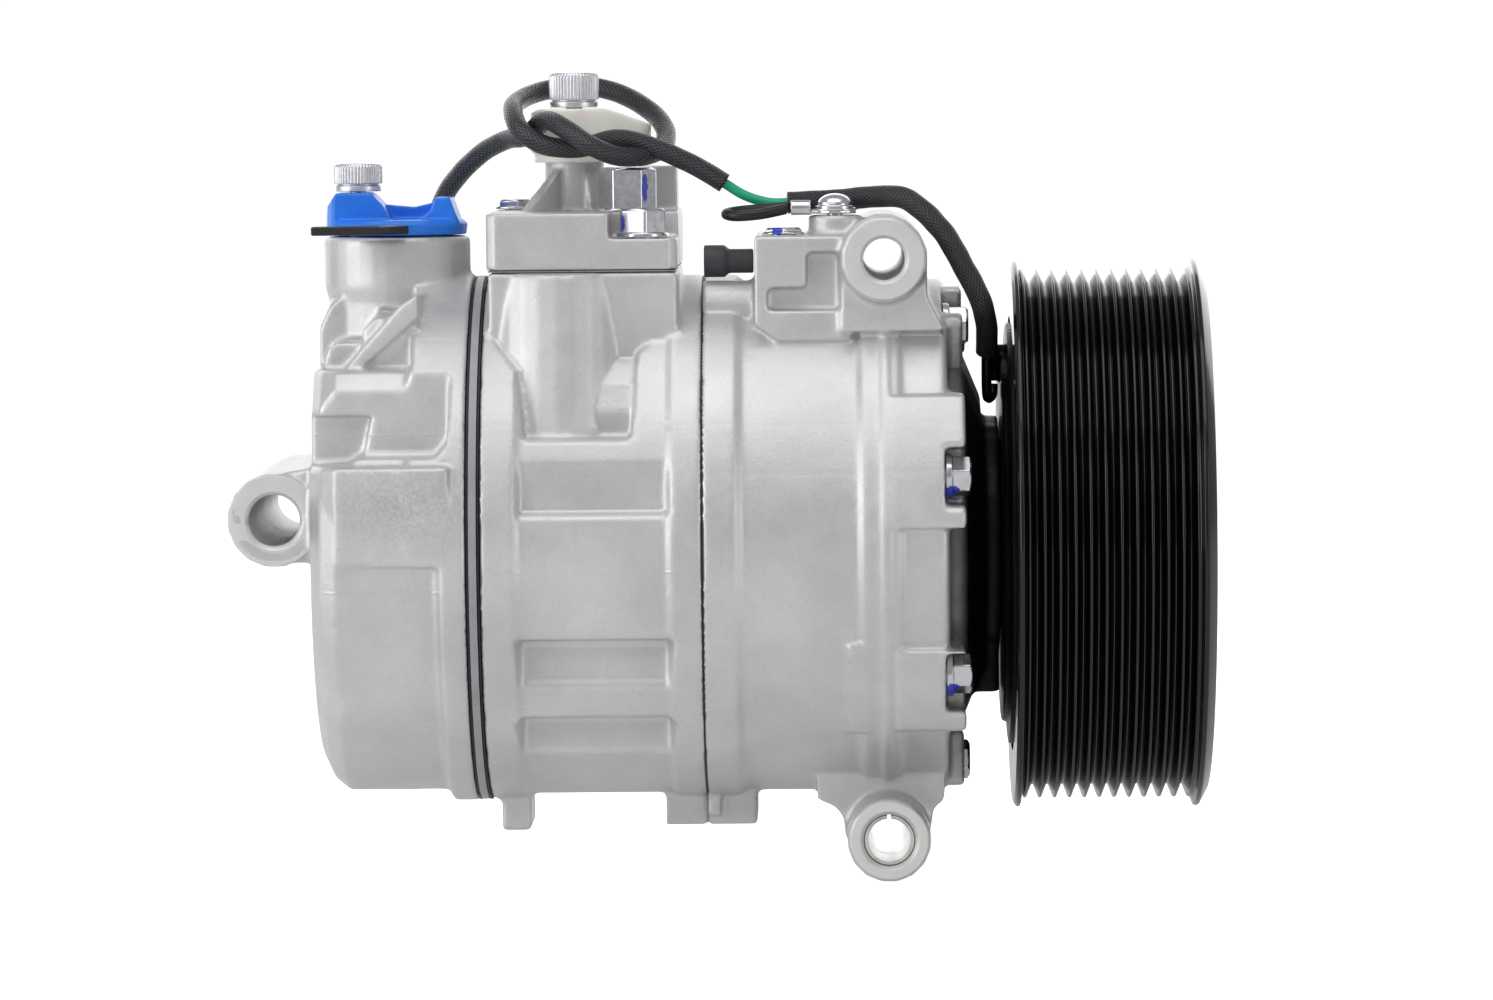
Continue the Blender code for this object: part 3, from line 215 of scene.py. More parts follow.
def turned_metal(name, code, axis, centre_mm, pitch_mm, roughness, depth_mm=0.012, metallic=1.0):
    """Metal with concentric tool marks round an axis through centre_mm."""
    made, tree, shader, place = start(name)
    scale = [0.0 if letter == axis else 1.0 for letter in "xyz"]
    radius = distance_from(tree, place, centre_mm, scale)
    marks = math_node(tree, "SINE", times(tree, radius, TAU / pitch_mm))
    wander = noise(tree, place, 4.0, 3.0)
    normal = bump(tree, marks, depth_mm, 0.6)
    colour = blend_colour(tree, ramp(tree, wander, 0.35, 0.65), linear(code), linear("#E6E4E1"))
    rough = ramp(tree, wander, 0.3, 0.7, roughness - 0.05, roughness + 0.07)
    put(tree, shader, Base_Color=colour, Metallic=metallic, Roughness=rough, Normal=normal)
    return made


def plated_steel(name, dab=None, satin=0.0):
    """Bright zinc-plated steel, rougher by satin; dab is (centre, radius, stretch) of a blue paint mark."""
    made, tree, shader, place = start(name)
    wander = noise(tree, place, 1.6, 4.0)
    colour = blend_colour(tree, ramp(tree, wander, 0.3, 0.7), linear("#CDCED1"), linear("#DFE0E3"))
    metallic, rough = 1.0, ramp(tree, wander, 0.3, 0.7, 0.18 + satin, 0.27 + satin)
    if dab:
        centre, radius, stretch = dab
        away = distance_from(tree, place, centre, stretch)
        ragged = plus(tree, away, times(tree, noise(tree, place, 1.3, 3.0), radius * 0.9))
        paint = ramp(tree, ragged, radius * 1.38, radius * 1.5, 1.0, 0.0)
        colour = blend_colour(tree, paint, colour, linear("#3A46C8"))
        metallic = math_node(tree, "SUBTRACT", 1.0, paint)
        rough = math_node(tree, "MAXIMUM", rough, times(tree, paint, 0.42))
    normal = bump(tree, wander, 0.006, 0.3)
    put(tree, shader, Base_Color=colour, Metallic=metallic, Roughness=rough, Normal=normal)
    return made


def machined_steel():
    """Plain ground steel of the running gear."""
    made, tree, shader, place = start("ground_steel")
    wander = noise(tree, place, 2.5, 4.0)
    rough = ramp(tree, wander, 0.3, 0.7, 0.24, 0.36)
    put(tree, shader, Base_Color=linear("#B9B9BC"), Metallic=1.0, Roughness=rough)
    return made


def gloss_black(name="black_enamel", rough=0.11, shine=0.5):
    """Black stoving enamel over steel, with a slight orange peel."""
    made, tree, shader, place = start(name)
    peel = noise(tree, place, 1.8, 2.0)
    smear = noise(tree, place, 14.0, 4.0)
    smeared = ramp(tree, smear, 0.3, 0.7, rough, rough + 0.08)
    put(tree, shader, Base_Color=linear("#050506"), Roughness=smeared, Normal=bump(tree, peel, 0.012, 0.35))
    shader.inputs["Specular IOR Level"].default_value = shine
    return made


def moulded_plastic(name, code, rough=0.4, subsurface=0.0):
    """Injection-moulded plastic with a fine spark-eroded texture."""
    made, tree, shader, place = start(name)
    fine = noise(tree, place, 0.8, 3.0)
    broad = noise(tree, place, 8.0, 2.0)
    dark = tuple(c * 0.86 for c in linear(code)[:3]) + (1.0,)
    colour = blend_colour(tree, ramp(tree, broad, 0.35, 0.65), dark, linear(code))
    textured = ramp(tree, fine, 0.3, 0.7, rough - 0.05, rough + 0.08)
    put(tree, shader, Base_Color=colour, Roughness=textured, Normal=bump(tree, fine, 0.015, 0.5))
    put(tree, shader, Subsurface_Weight=subsurface, Subsurface_Scale=0.003)
    return made


def rubber():
    """Dull black nitrile rubber."""
    made, tree, shader, place = start("nitrile_rubber")
    fine = noise(tree, place, 0.7, 3.0)
    put(tree, shader, Base_Color=linear("#17171A"), Roughness=0.62, Normal=bump(tree, fine, 0.02, 0.5))
    return made


def bronze():
    """Sintered bronze of the plain bearings."""
    made, tree, shader, place = start("sintered_bronze")
    fine = noise(tree, place, 0.5, 3.0)
    normal = bump(tree, fine, 0.01, 0.4)
    put(tree, shader, Base_Color=linear("#B08A4E"), Metallic=1.0, Roughness=0.38, Normal=normal)
    return made


def woven_sleeving(name, around, pitch_mm, shine):
    """Braided polyester sleeve: two sets of threads crossing, from the tube's own UV (turns, millimetres)."""
    made, tree, shader, place = start(name)
    uv = add(tree, "ShaderNodeUVMap", {"uv_map": "UVMap"}).outputs["UV"]
    parts = add(tree, "ShaderNodeSeparateXYZ", None, {0: uv}).outputs
    turns = times(tree, parts[0], TAU * around)
    along = times(tree, parts[1], TAU / pitch_mm)
    one = math_node(tree, "SINE", plus(tree, turns, along))
    two = math_node(tree, "SINE", math_node(tree, "SUBTRACT", turns, along))
    threads = math_node(tree, "MAXIMUM", one, two)
    # Painted highlight: the crests of the crossing threads are coloured lighter than the black sleeve
    painted_thread_highlight = ramp(tree, threads, 0.55, 1.0)
    colour = blend_colour(tree, painted_thread_highlight, linear("#070708"), linear("#3A3B42"))
    put(tree, shader, Base_Color=colour, Roughness=shine, Normal=bump(tree, threads, 0.10, 0.9))
    shader.inputs["Specular IOR Level"].default_value = 0.6
    return made


def wire_insulation():
    """PVC insulation: black from the coil to the front sleeve, green beyond it."""
    made, tree, shader, place = start("wire_insulation")
    parts = add(tree, "ShaderNodeSeparateXYZ", None, {0: place}).outputs
    green = ramp(tree, parts[0], -0.0005, 0.0005, 1.0, 0.0)
    colour = blend_colour(tree, green, linear("#0E0E10"), linear("#1FAE86"))
    put(tree, shader, Base_Color=colour, Roughness=0.36)
    return made


# ---------------------------------------------------------------- surfaces

def surface(name, grid, wrap=False, uv=None):
    """Mesh of a grid of points (rows, columns, 3) in millimetres; wrap joins the last column to the first."""
    rows, columns = grid.shape[:2]
    index = np.arange(rows * columns).reshape(rows, columns)
    if wrap:
        index = np.concatenate([index, index[:, :1]], axis=1)
    quads = np.stack([index[:-1, :-1], index[:-1, 1:], index[1:, 1:], index[1:, :-1]], axis=-1).reshape(-1, 4)
    mesh = bpy.data.meshes.new(name)
    mesh.from_pydata((grid.reshape(-1, 3) * MM).tolist(), [], quads.tolist())
    if uv is not None:
        # The last column of a wrapped grid ends at the full turn, so its corners carry on past the first
        wide = np.concatenate([uv, uv[:, :1] + [1.0, 0.0]], axis=1) if wrap else uv
        block = np.stack([wide[:-1, :-1], wide[:-1, 1:], wide[1:, 1:], wide[1:, :-1]], axis=2).reshape(-1, 2)
        layer = mesh.uv_layers.new(name="UVMap")
        layer.data.foreach_set("uv", block.astype(np.float32).ravel())
    mesh.validate()
    mesh.update()
    mesh.shade_smooth()
    made = bpy.data.objects.new(name, mesh)
    bpy.context.scene.collection.objects.link(made)
    return made


def rounded(profile, radius, steps=4):
    """A profile with each corner replaced by a curve that starts up to radius from it.

    Between p (before) and q (after) of corner c the curve is (1-t)^2 p + 2t(1-t) c + t^2 q.
    """
    points = [np.array(p, float) for p in profile]
    made = [points[0]]
    for before, corner, after in zip(points, points[1:], points[2:]):
        back, ahead = before - corner, after - corner
        room = min(radius, 0.48 * np.linalg.norm(back), 0.48 * np.linalg.norm(ahead))
        p = corner + back / np.linalg.norm(back) * room
        q = corner + ahead / np.linalg.norm(ahead) * room
        for t in np.linspace(0, 1, steps + 1):
            made.append((1 - t) ** 2 * p + 2 * t * (1 - t) * corner + t ** 2 * q)
    made.append(points[-1])
    return np.array(made)


def on_axis(axis, along, side, up):
    """Points at these distances along an axis and across it, with the last index x, y, z."""
    order = {"x": (along, side, up), "y": (side, along, up), "z": (side, up, along)}[axis]
    return np.stack(np.broadcast_arrays(*order), axis=-1)


def lathe(
    name, profile, axis="x", centre=(0.0, 0.0), corner=0.3, segments=96, radius_of=None, first=0.0, last=TAU
):
    """Surface of revolution: (a, r cos t, r sin t) about an axis, for each (a, r) of the profile.

    radius_of(a, r, t) may change the radius round the turn, as for a hexagon or a knurl.
    """
    line = rounded(profile, corner) if corner else np.array(profile, float)
    whole = last - first > TAU - 1e-6
    angle = np.linspace(first, last, segments, endpoint=not whole)[None, :]
    along, radius = line[:, :1], line[:, 1:]
    if radius_of:
        radius = radius_of(along, radius, angle)
    side = centre[0] + radius * np.cos(angle)
    up = centre[1] + radius * np.sin(angle)
    return surface(name, on_axis(axis, along + 0 * angle, side, up), wrap=whole)


def hexagon(flat_half, turn=0.0):
    """Radius limit of a hexagon: flat_half / cos(d), where d is the angle from the nearest flat's middle."""

    def limit(along, radius, angle):
        d = (angle - turn + math.pi / 6) % (math.pi / 3) - math.pi / 6
        return np.minimum(radius, flat_half / np.cos(d))

    return limit


def knurl(low, high, ridges, depth):
    """Straight knurl between two heights: the radius dips by depth * |sin(ridges t / 2)|^0.6."""

    def cut(along, radius, angle):
        inside = (along > low) & (along < high)
        dip = depth * (1 - np.abs(np.sin(ridges * angle / 2)) ** 0.6)
        return radius - np.where(inside, dip, 0.0)

    return cut


def joined(name, *objects):
    """One object made of several."""
    for o in bpy.context.selected_objects:
        o.select_set(False)
    for o in objects:
        o.select_set(True)
    bpy.context.view_layer.objects.active = objects[0]
    bpy.ops.object.join()
    objects[0].name = name
    objects[0].data.name = name
    return objects[0]


def dress(made, look, body, slot, *nodes):
    """Gives a piece its material and its body, and hides the CAD nodes that it stands for. The argument slot
    is not used.
    """
    made.data.materials.clear()
    made.data.materials.append(look)
    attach(made, body)
    if nodes:
        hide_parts(*nodes)
    return made


def true_round(places, sides):
    """Radius that each point of a many-sided prism about the shaft has on its circle, and its angle.

    A side at angle d from its middle lies at R cos(pi/n) / cos(d), so the radius grows by cos(d) / cos(pi/n).
    """
    radius = np.hypot(places[:, 1], places[:, 2])
    angle = np.arctan2(places[:, 2], places[:, 1])
    step = TAU / sides
    d = (angle + step / 2) % step - step / 2
    grow = np.cos(d) / math.cos(step / 2)
    return radius * grow, angle


def with_blocks(mesh, blocks):
    """Adds upright blocks, each an (x, y) outline from one height to another, for the skin to take in."""
    places = [tuple(v.co) for v in mesh.vertices]
    faces = [tuple(p.vertices) for p in mesh.polygons]
    for outline, low, high in blocks:
        first, n = len(places), len(outline)
        places += [(x * MM, y * MM, z * MM) for z in (low, high) for x, y in outline]
        faces += [tuple(range(first + n - 1, first - 1, -1)), tuple(range(first + n, first + 2 * n))]
        for k in range(n):
            j = (k + 1) % n
            faces.append((first + k, first + j, first + n + j, first + n + k))
    made = bpy.data.meshes.new(mesh.name + "_blocks")
    made.from_pydata(places, [], faces)
    return made


def softened(node, voxel, passes, most, sides=0, crisp=True, blocks=()):
    """A CAD shape with soft edges: a voxel skin, smoothed, its barrel made truly round, then thinned."""
    mesh = with_blocks(NODES[node].data, blocks)
    source = bpy.data.objects.new(node + "_soft", mesh)
    bpy.context.scene.collection.objects.link(source)
    weld = source.modifiers.new("weld", "WELD")
    weld.merge_threshold = 1e-6
    skin = source.modifiers.new("skin", "REMESH")
    skin.mode = "VOXEL"
    skin.voxel_size = voxel * MM * 1.0
    smooth = source.modifiers.new("smooth", "SMOOTH")
    smooth.factor = 0.5
    smooth.iterations = passes
    flat = bpy.data.meshes.new_from_object(source.evaluated_get(bpy.context.evaluated_depsgraph_get()))
    bpy.data.objects.remove(source)
    count = len(flat.vertices)
    places = np.zeros(count * 3)
    flat.vertices.foreach_get("co", places)
    places = places.reshape(-1, 3) / MM
    normals = np.zeros(count * 3, np.float32)
    flat.vertices.foreach_get("normal", normals)
    normals = normals.reshape(-1, 3)
    if sides:
        radius, angle = true_round(places, sides)
        tangent = np.abs(-np.sin(angle) * normals[:, 1] + np.cos(angle) * normals[:, 2])
        old = np.hypot(places[:, 1], places[:, 2])
        # Only the barrel's own faces: those that look outwards, from 20 mm to 64 mm off the shaft
        share = np.clip((0.26 - tangent) / 0.12, 0, 1)
        share = share * np.clip((old - 20) / 10, 0, 1) * np.clip((64.2 - old) / 0.8, 0, 1)
        new = old + (radius - old) * share
        places[:, 1] = new * np.cos(angle)
        places[:, 2] = new * np.sin(angle)
    if crisp:
        for plane in JOINT_PLANES:
            near = np.abs(places[:, 0] - plane) < 0.62 * voxel
            places[near, 0] = plane
    flat.vertices.foreach_set("co", (places * MM).ravel())
    made = bpy.data.objects.new(node + "_skin", flat)
    bpy.context.scene.collection.objects.link(made)
    triangles = sum(len(p.vertices) - 2 for p in flat.polygons)
    if triangles > most:
        thin = made.modifiers.new("thin", "DECIMATE")
        thin.ratio = most / triangles
        lean = bpy.data.meshes.new_from_object(made.evaluated_get(bpy.context.evaluated_depsgraph_get()))
        made.modifiers.clear()
        made.data = lean
    made.data.shade_smooth()
    return made


# ---------------------------------------------------------------- the lead's line

def smooth_line(route, spacing):
    """Even points on a Catmull-Rom curve: half of 2b + (c-a)t + (2a-5b+4c-d)t^2 + (3b-a-3c+d)t^3 per span."""
    p = [np.array(q, float) for q in route]
    p = [2 * p[0] - p[1]] + p + [2 * p[-1] - p[-2]]
    fine = []
    for a, b, c, d in zip(p, p[1:], p[2:], p[3:]):
        for t in np.linspace(0, 1, 24, endpoint=False):
            fine.append(0.5 * (2 * b + (c - a) * t + (2 * a - 5 * b + 4 * c - d) * t ** 2
                               + (3 * b - a - 3 * c + d) * t ** 3))
    fine = np.array(fine + [p[-2]])
    run = np.concatenate([[0], np.cumsum(np.linalg.norm(np.diff(fine, axis=0), axis=1))])
    even = np.linspace(0, run[-1], max(2, int(round(run[-1] / spacing))) + 1)
    return np.stack([np.interp(even, run, fine[:, k]) for k in range(3)], axis=1)


def part_of(route, first, last, spacing):
    """The smooth line between two of a route's points."""
    line = smooth_line(route, 0.5)
    ends = [int(np.argmin(np.linalg.norm(line - np.array(route[k]), axis=1))) for k in (first, last)]
    return smooth_line(line[ends[0] : ends[1] + 1], spacing)


def sleeve(name, line, radius, flatness=0.0, crease=0.0, seed=1, sides=40):
    """Tube along a line: c + r(s, t)(n cos t + b sin t), with a carried frame n, b.

    r is radius * (1 + flatness cos 2t) plus soft creases, and the mouths turn in to the wire.
    """
    rng = np.random.default_rng(seed)
    tangent = np.gradient(line, axis=0)
    tangent /= np.linalg.norm(tangent, axis=1, keepdims=True)
    normal = np.array([0.0, 1.0, 0.0])
    frames = []
    for t in tangent:
        normal = normal - t * (normal @ t)
        normal /= np.linalg.norm(normal)
        frames.append((normal.copy(), np.cross(t, normal)))
    run = np.concatenate([[0], np.cumsum(np.linalg.norm(np.diff(line, axis=0), axis=1))])
    angle = np.linspace(0, TAU, sides, endpoint=False)
    waves = [
        (rng.uniform(0.5, 1.0), rng.uniform(4, 9), rng.uniform(0, TAU), rng.integers(1, 4))
        for _ in range(6)
    ]
    rings, uvs = [], []
    for k, centre in enumerate(line):
        r = radius * (1 + flatness * np.cos(2 * angle))
        for height, length, phase, lobes in waves:
            r = r + crease * height * np.sin(TAU * run[k] / length + phase) * np.sin(lobes * angle + phase)
        n, b = frames[k]
        rings.append(centre + r[:, None] * (np.cos(angle)[:, None] * n + np.sin(angle)[:, None] * b))
        uvs.append(np.stack([angle / TAU, np.full(sides, run[k])], axis=1))

    def mouth(k, share):
        return line[k] + (rings[k] - line[k]) * share

    whole = [mouth(0, 0.5), mouth(0, 0.93)] + rings + [mouth(-1, 0.93), mouth(-1, 0.5)]
    uv = [uvs[0], uvs[0]] + uvs + [uvs[-1], uvs[-1]]
    return surface(name, np.array(whole), wrap=True, uv=np.array(uv))


def cord_curve(name, line, diameter):
    curve = bpy.data.curves.new(name, "CURVE")
    curve.dimensions = "3D"
    curve.bevel_depth = diameter / 2 * MM
    curve.bevel_resolution = 5
    curve.use_fill_caps = True
    spline = curve.splines.new("POLY")
    spline.points.add(len(line) - 1)
    for point, place in zip(spline.points, line):
        point.co = (*(place * MM), 1.0)
    made = bpy.data.objects.new(name, curve)
    bpy.context.scene.collection.objects.link(made)
    return made


LEAD_ROUTE = [
    (26.0, -9.0, 36.1),
    (25.8, -9.8, 33.6),
    (24.6, -12.8, 33.2),
    (24.3, -16.6, 38.4),
    (24.3, -20.0, 44.6),
    (24.2, -25.5, 50.5),
    (22.6, -30.5, 57.0),
    (18.8, -31.5, 64.6),
    (13.6, -30.3, 73.4),
    (5.8, -26.0, 80.4),
    (-1.5, -21.0, 81.1),
    (-10.5, -17.0, 80.3),
    (-17.5, -17.5, 80.0),
    (-22.5, -18.0, 79.8),
    (-27.0, -18.3, 79.9),
    (-32.5, -18.6, 81.6),
    (-37.4, -18.8, 84.6),
    (-43.8, -18.9, 88.5),
    (-53.1, -18.6, 92.8),
    (-62.2, -18.2, 95.2),
    (-71.6, -18.4, 93.2),
    (-79.9, -17.8, 93.9),
    (-85.6, -15.4, 97.6),
    (-87.6, -7.6, 101.6),
    (-87.2, 3.0, 104.0),
    (-82.4, 13.6, 106.4),
    (-73.6, 18.8, 107.8),
    (-65.0, 16.0, 106.6),
    (-57.6, 9.2, 103.2),
    (-52.5, 1.5, 98.8),
    (-51.4, -7.5, 94.6),
    (-54.6, -17.0, 91.6),
    (-61.6, -23.8, 91.1),
    (-68.4, -25.4, 93.6),
    (-74.6, -22.0, 97.6),
    (-79.6, -15.0, 99.6),
    (-84.6, -8.6, 96.0),
    (-89.3, -0.5, 95.2),
    (-95.2, 6.5, 92.4),
    (-101.3, 14.0, 87.2),
    (-106.0, 21.5, 81.0),
    (-108.6, 29.5, 73.0),
    (-109.6, 38.6, 62.6),
    (-110.2, 48.2, 50.6),
    (-110.8, 57.2, 36.0),
    (-111.2, 64.6, 20.0),
    (-111.4, 69.4, 4.0),
    (-111.4, 70.2, -4.0),
]
FRONT_SLEEVE = (4, 13)
REAR_SLEEVE_START = 16
EARTH_ROUTE = [
    (-22.2, -21.8, 78.8),
    (-25.5, -21.5, 78.6),
    (-29.6, -21.7, 78.3),
    (-34.2, -22.9, 77.9),
    (-36.8, -26.2, 77.4),
    (-34.4, -29.8, 77.0),
    (-28.8, -30.4, 77.4),
    (-23.0, -28.4, 78.5),
]


# ---------------------------------------------------------------- pieces

def bolt_place(degrees):
    """y and z of a long bolt's axis."""
    angle = math.radians(degrees)
    return -BOLT_CIRCLE * math.cos(angle), BOLT_CIRCLE * math.sin(angle)


def castings(look):
    """The four castings, as (node, voxel, smoothing passes, most triangles)."""
    plan = (
        ("rear_housing", 0.70, 5, 190000),
        ("cylinder_block", 0.75, 3, 190000),
        ("front_housing", 0.75, 3, 195000),
        ("muffler_cover", 0.5, 7, 120000),
    )
    # Fairing of the arm over the flange's edge, and the bosses round the tips of two long bolts
    arm = [(-133.4, -45.5), (-131.0, -56.4), (-127.4, -60.4), (-118.0, -61.7), (-110.0, -62.5)]
    arm += [(-102.4, -62.7), (-102.4, -50.0), (-126.0, -40.0), (-133.4, -40.0)]
    added = {"rear_housing": [(arm, -2.9, 20.0)]}
    boss_half = 4.6
    for degrees in BOLT_ANGLES[1:3]:
        y, z = bolt_place(degrees)
        near, far = y - boss_half, y + boss_half
        boss = [(-119.5, near), (-108.0, near), (-108.0, far), (-119.5, far)]
        added["rear_housing"].append((boss, 38.0, z + 4.8))
    for node, voxel, passes, most in plan:
        cover = node == "muffler_cover"
        made = softened(node, voxel, passes, most, 0 if cover else CAD_SIDES, not cover, added.get(node, ()))
        dress(made, look, "casing", SLOT_OF[node], node)


def eye_faces():
    """Machined ring and bore of each mounting eye, and the slit sleeve in the lower one."""
    for name, (x, z, face, bore) in EYES.items():
        look = turned_metal(f"machined_eye_{name}", "#E4E2DF", "y", (x, 0, z), 0.55, 0.40, 0.004, 0.55)
        inner = bore - 0.06
        for side in (-1, 1):
            proud = side * (EYE_HALF + 0.14)
            ring = [
                (side * (EYE_HALF - 1.0), face), (proud, face), (proud, inner + 0.9),
                (side * (EYE_HALF - 0.9), inner), (side * 20.0, inner), (0.0, inner),
            ]
            made = lathe(f"eye_{name}_{'front' if side < 0 else 'back'}", ring, "y", (x, z), 0.15, 96)
            dress(made, look, "casing", "cast_aluminium")
    x, z = EYES["lower"][:2]
    half, inner, outer = EYE_HALF - 1.5, 5.0, 5.85
    outline = [(-half, inner), (-half, outer), (half, outer), (half, inner), (-half, inner)]
    first = math.pi / 2 + math.radians(5)
    last = math.pi * 2.5 - math.radians(5)
    made = lathe("slit_sleeve", outline, "y", (x, z), 0.12, 72, None, first, last)
    look = turned_metal("rolled_sleeve_steel", "#C9C6C2", "y", (x, 0, z), 0.8, 0.22)
    dress(made, look, "casing", SLOT_OF["eye_sleeve"], "eye_sleeve")


def gaskets(black, plate_edge):
    """Rims of the joint plates, as seen between the castings."""
    for node, start_x, end_x, radius, look in (
        ("head_gasket", -97.2, -96.85, 62.3, black),
        ("valve_plate", -96.6, -94.8, 62.7, plate_edge),
        ("block_gasket", -94.55, -94.2, 62.3, black),
        ("housing_seal", -42.9, -42.4, 62.35, black),
    ):
        profile = [(start_x, 44.0), (start_x, radius), (end_x, radius), (end_x, 44.0)]
        made = lathe(node + "_rim", profile, "x", (0, 0), 0.08, 240)
        dress(made, look, "casing", SLOT_OF.get(node, "gasket_sheet"))


def hex_bolt(name, axis, centre, seat, collar, flat_half, height, look, body, slot, node, turn, shank):
    """Hexagon head with coned corners, on a round collar (radius, height) and a shank (end, radius)."""
    top = seat + height
    collar_r, collar_h = collar
    low, shank_r = shank
    corner_r = flat_half / math.cos(math.pi / 6)
    head = [
        (seat + collar_h * 0.8, 0.0), (seat + collar_h * 0.8, corner_r + 0.02), (top - 0.7, corner_r + 0.02),
        (top, flat_half * 0.93), (top, flat_half * 0.5), (top - 0.12, 0.0),
    ]
    pieces = [lathe(name, head, axis, centre, 0.16, 120, hexagon(flat_half, turn))]
    edge, foot = seat + collar_h, seat + collar_h + 0.35
    flange = [(seat, 0.0), (seat, collar_r), (edge, collar_r - 0.12), (foot, flat_half), (foot, 0.0)]
    pieces.append(lathe(name + "_collar", flange, axis, centre, 0.22, 96))
    stem = [(low, 0.0), (low, shank_r), (seat + 0.3, shank_r), (seat + 0.3, 0.0)]
    pieces.append(lathe(name + "_shank", stem, axis, centre, 0.2, 32))
    return dress(joined(name, *pieces), look, body, slot, node)


def screws():
    slot = SLOT_OF["through_bolt_1"]
    for k, degrees in enumerate(BOLT_ANGLES):
        y, z = bolt_place(degrees)
        dab = ((15.2, y - 3.6, z - 3.6), 1.5, (0.8, 0.6, 0.9))
        hex_bolt(
            f"bolt_{k + 1}", "x", (y, z), SPOT_FACE + 0.3, (5.4, 1.5), 4.1, 6.1,
            plated_steel(f"zinc_bolt_{k + 1}", dab), "casing", slot, f"through_bolt_{k + 1}",
            math.radians(90 - degrees), (-118.0, 3.0),
        )
    hex_bolt(
        "cover_bolt_front", "z", (-56.5, -29.5), 72.3, (6.2, 0.9), 5.1, 6.7,
        plated_steel("zinc_cover_bolt", ((-61.6, -33.0, 75.6), 1.1, (1.0, 0.4, 0.5))), "casing", slot,
        "cover_bolt_1", math.radians(8), (54.0, 2.6),
    )
    hex_bolt(
        "cover_bolt_back", "z", (-88.6, 18.0), 78.3, (4.9, 0.6), 4.1, 2.4,
        plated_steel("zinc_small_bolt"), "casing", slot, "cover_bolt_2", 0.2, (58.0, 2.6),
    )
    hex_bolt(
        "relief_plug_head", "z", (-60.3, -13.6), 78.3, (5.8, 0.6), 5.85, 10.2,
        plated_steel("nickel_plug", ((-56.0, -19.4, 83.8), 0.85, (1.0, 0.3, 0.22))), "casing",
        SLOT_OF["relief_plug"], "relief_plug", math.radians(-90), (68.5, 3.0),
    )
    hex_bolt(
        "oil_plug_head", "z", (-23.6, -26.0), 72.6, (5.1, 0.5), 4.3, 1.6,
        plated_steel("zinc_oil_plug", ((-24.9, -30.4, 73.4), 1.2, (1.0, 0.5, 1.0))), "casing", slot,
        "oil_plug", 0.1, (63.0, 3.1),
    )
    dome = [(78.4, 0.0), (78.4, 4.85), (79.1, 4.85), (79.25, 4.3)]
    dome += [(79.25 + 2.8 * math.sin(t), 4.3 * math.cos(t)) for t in np.linspace(0.1, math.pi / 2, 9)]
    stem = [(68.0, 0.0), (68.0, 2.0), (78.6, 2.0), (78.6, 0.0)]
    disc = [(78.05, 2.1), (78.05, 5.6), (78.4, 5.6), (78.4, 2.1)]
    head = lathe("earth_screw_dome", dome, "z", EARTH_SCREW, 0.12, 96)
    shank = lathe("earth_shank", stem, "z", EARTH_SCREW, 0.1, 24)
    washer = lathe("earth_washer", disc, "z", EARTH_SCREW, 0.1, 96)
    made = joined("earth_screw_head", head, shank, washer)
    dress(made, plated_steel("zinc_earth_screw"), "casing", slot, "earth_screw")


def cap_screws():
    """Knurled hand screws of the two shipping caps, with a plain collar under the knurl."""
    for name, x, seat, low, radius, height, node in (
        ("suction_screw", -125.2, 83.1, 63.0, 5.8, 6.6, "suction_cap_screw"),
        ("discharge_screw", DISCHARGE_X, 102.7, 92.0, 5.95, 8.2, "discharge_cap_screw"),
    ):
        top = seat + height
        collar_r, groove_r = radius - 0.25, radius - 0.75
        body = [
            (seat, 0.0), (seat, collar_r), (seat + 1.3, collar_r), (seat + 1.45, groove_r),
            (seat + 1.75, groove_r), (seat + 1.9, radius), (top - 0.7, radius), (top, radius - 0.6),
            (top, 3.1), (top - 2.6, 2.9), (top - 2.6, 0.0),
        ]
        fine = lathe(name, body, "z", (x, 0.0), 0.18, 480, knurl(seat + 1.9, top - 0.55, 44, 0.3))
        shank = [(low, 0.0), (low, 2.0), (seat + 0.2, 2.0), (seat + 0.2, 0.0)]
        stem = lathe(name + "_stem", shank, "z", (x, 0.0), 0.1, 32)
        look = plated_steel("satin_" + name, None, 0.14)
        dress(joined(name, fine, stem), look, "casing", SLOT_OF[node], node)


def pulley(look):
    """Grooved rim turned in one piece: ribs with rounded tips and roots at the belt's pitch."""
    outline = [(30.2, 52.0), (30.2, 64.3), (30.9, PULLEY_R), (31.8, PULLEY_R), (32.3, 62.4)]
    for k in range(GROOVES + 1):
        tip = FIRST_RIB + RIB_PITCH * k
        outline += [(tip - 0.28, 63.45), (tip + 0.28, 63.45)]
        if k < GROOVES:
            root = tip + RIB_PITCH / 2
            outline += [(root - 0.25, 60.2), (root + 0.25, 60.2)]
    outline += [
        (72.9, 64.0), (73.3, PULLEY_R), (74.3, PULLEY_R), (76.4, 61.6), (76.4, 59.8), (74.6, 58.6),
        (63.0, 58.2), (63.0, 29.0), (61.8, 27.8), (38.6, 27.8), (38.6, 30.6), (56.4, 30.6),
        (56.4, 52.0), (30.2, 52.0),
    ]
    made = lathe("pulley_rim", outline, "x", (0, 0), 0.35, 240)
    dress(made, look, "pulley", SLOT_OF["pulley"], "pulley")


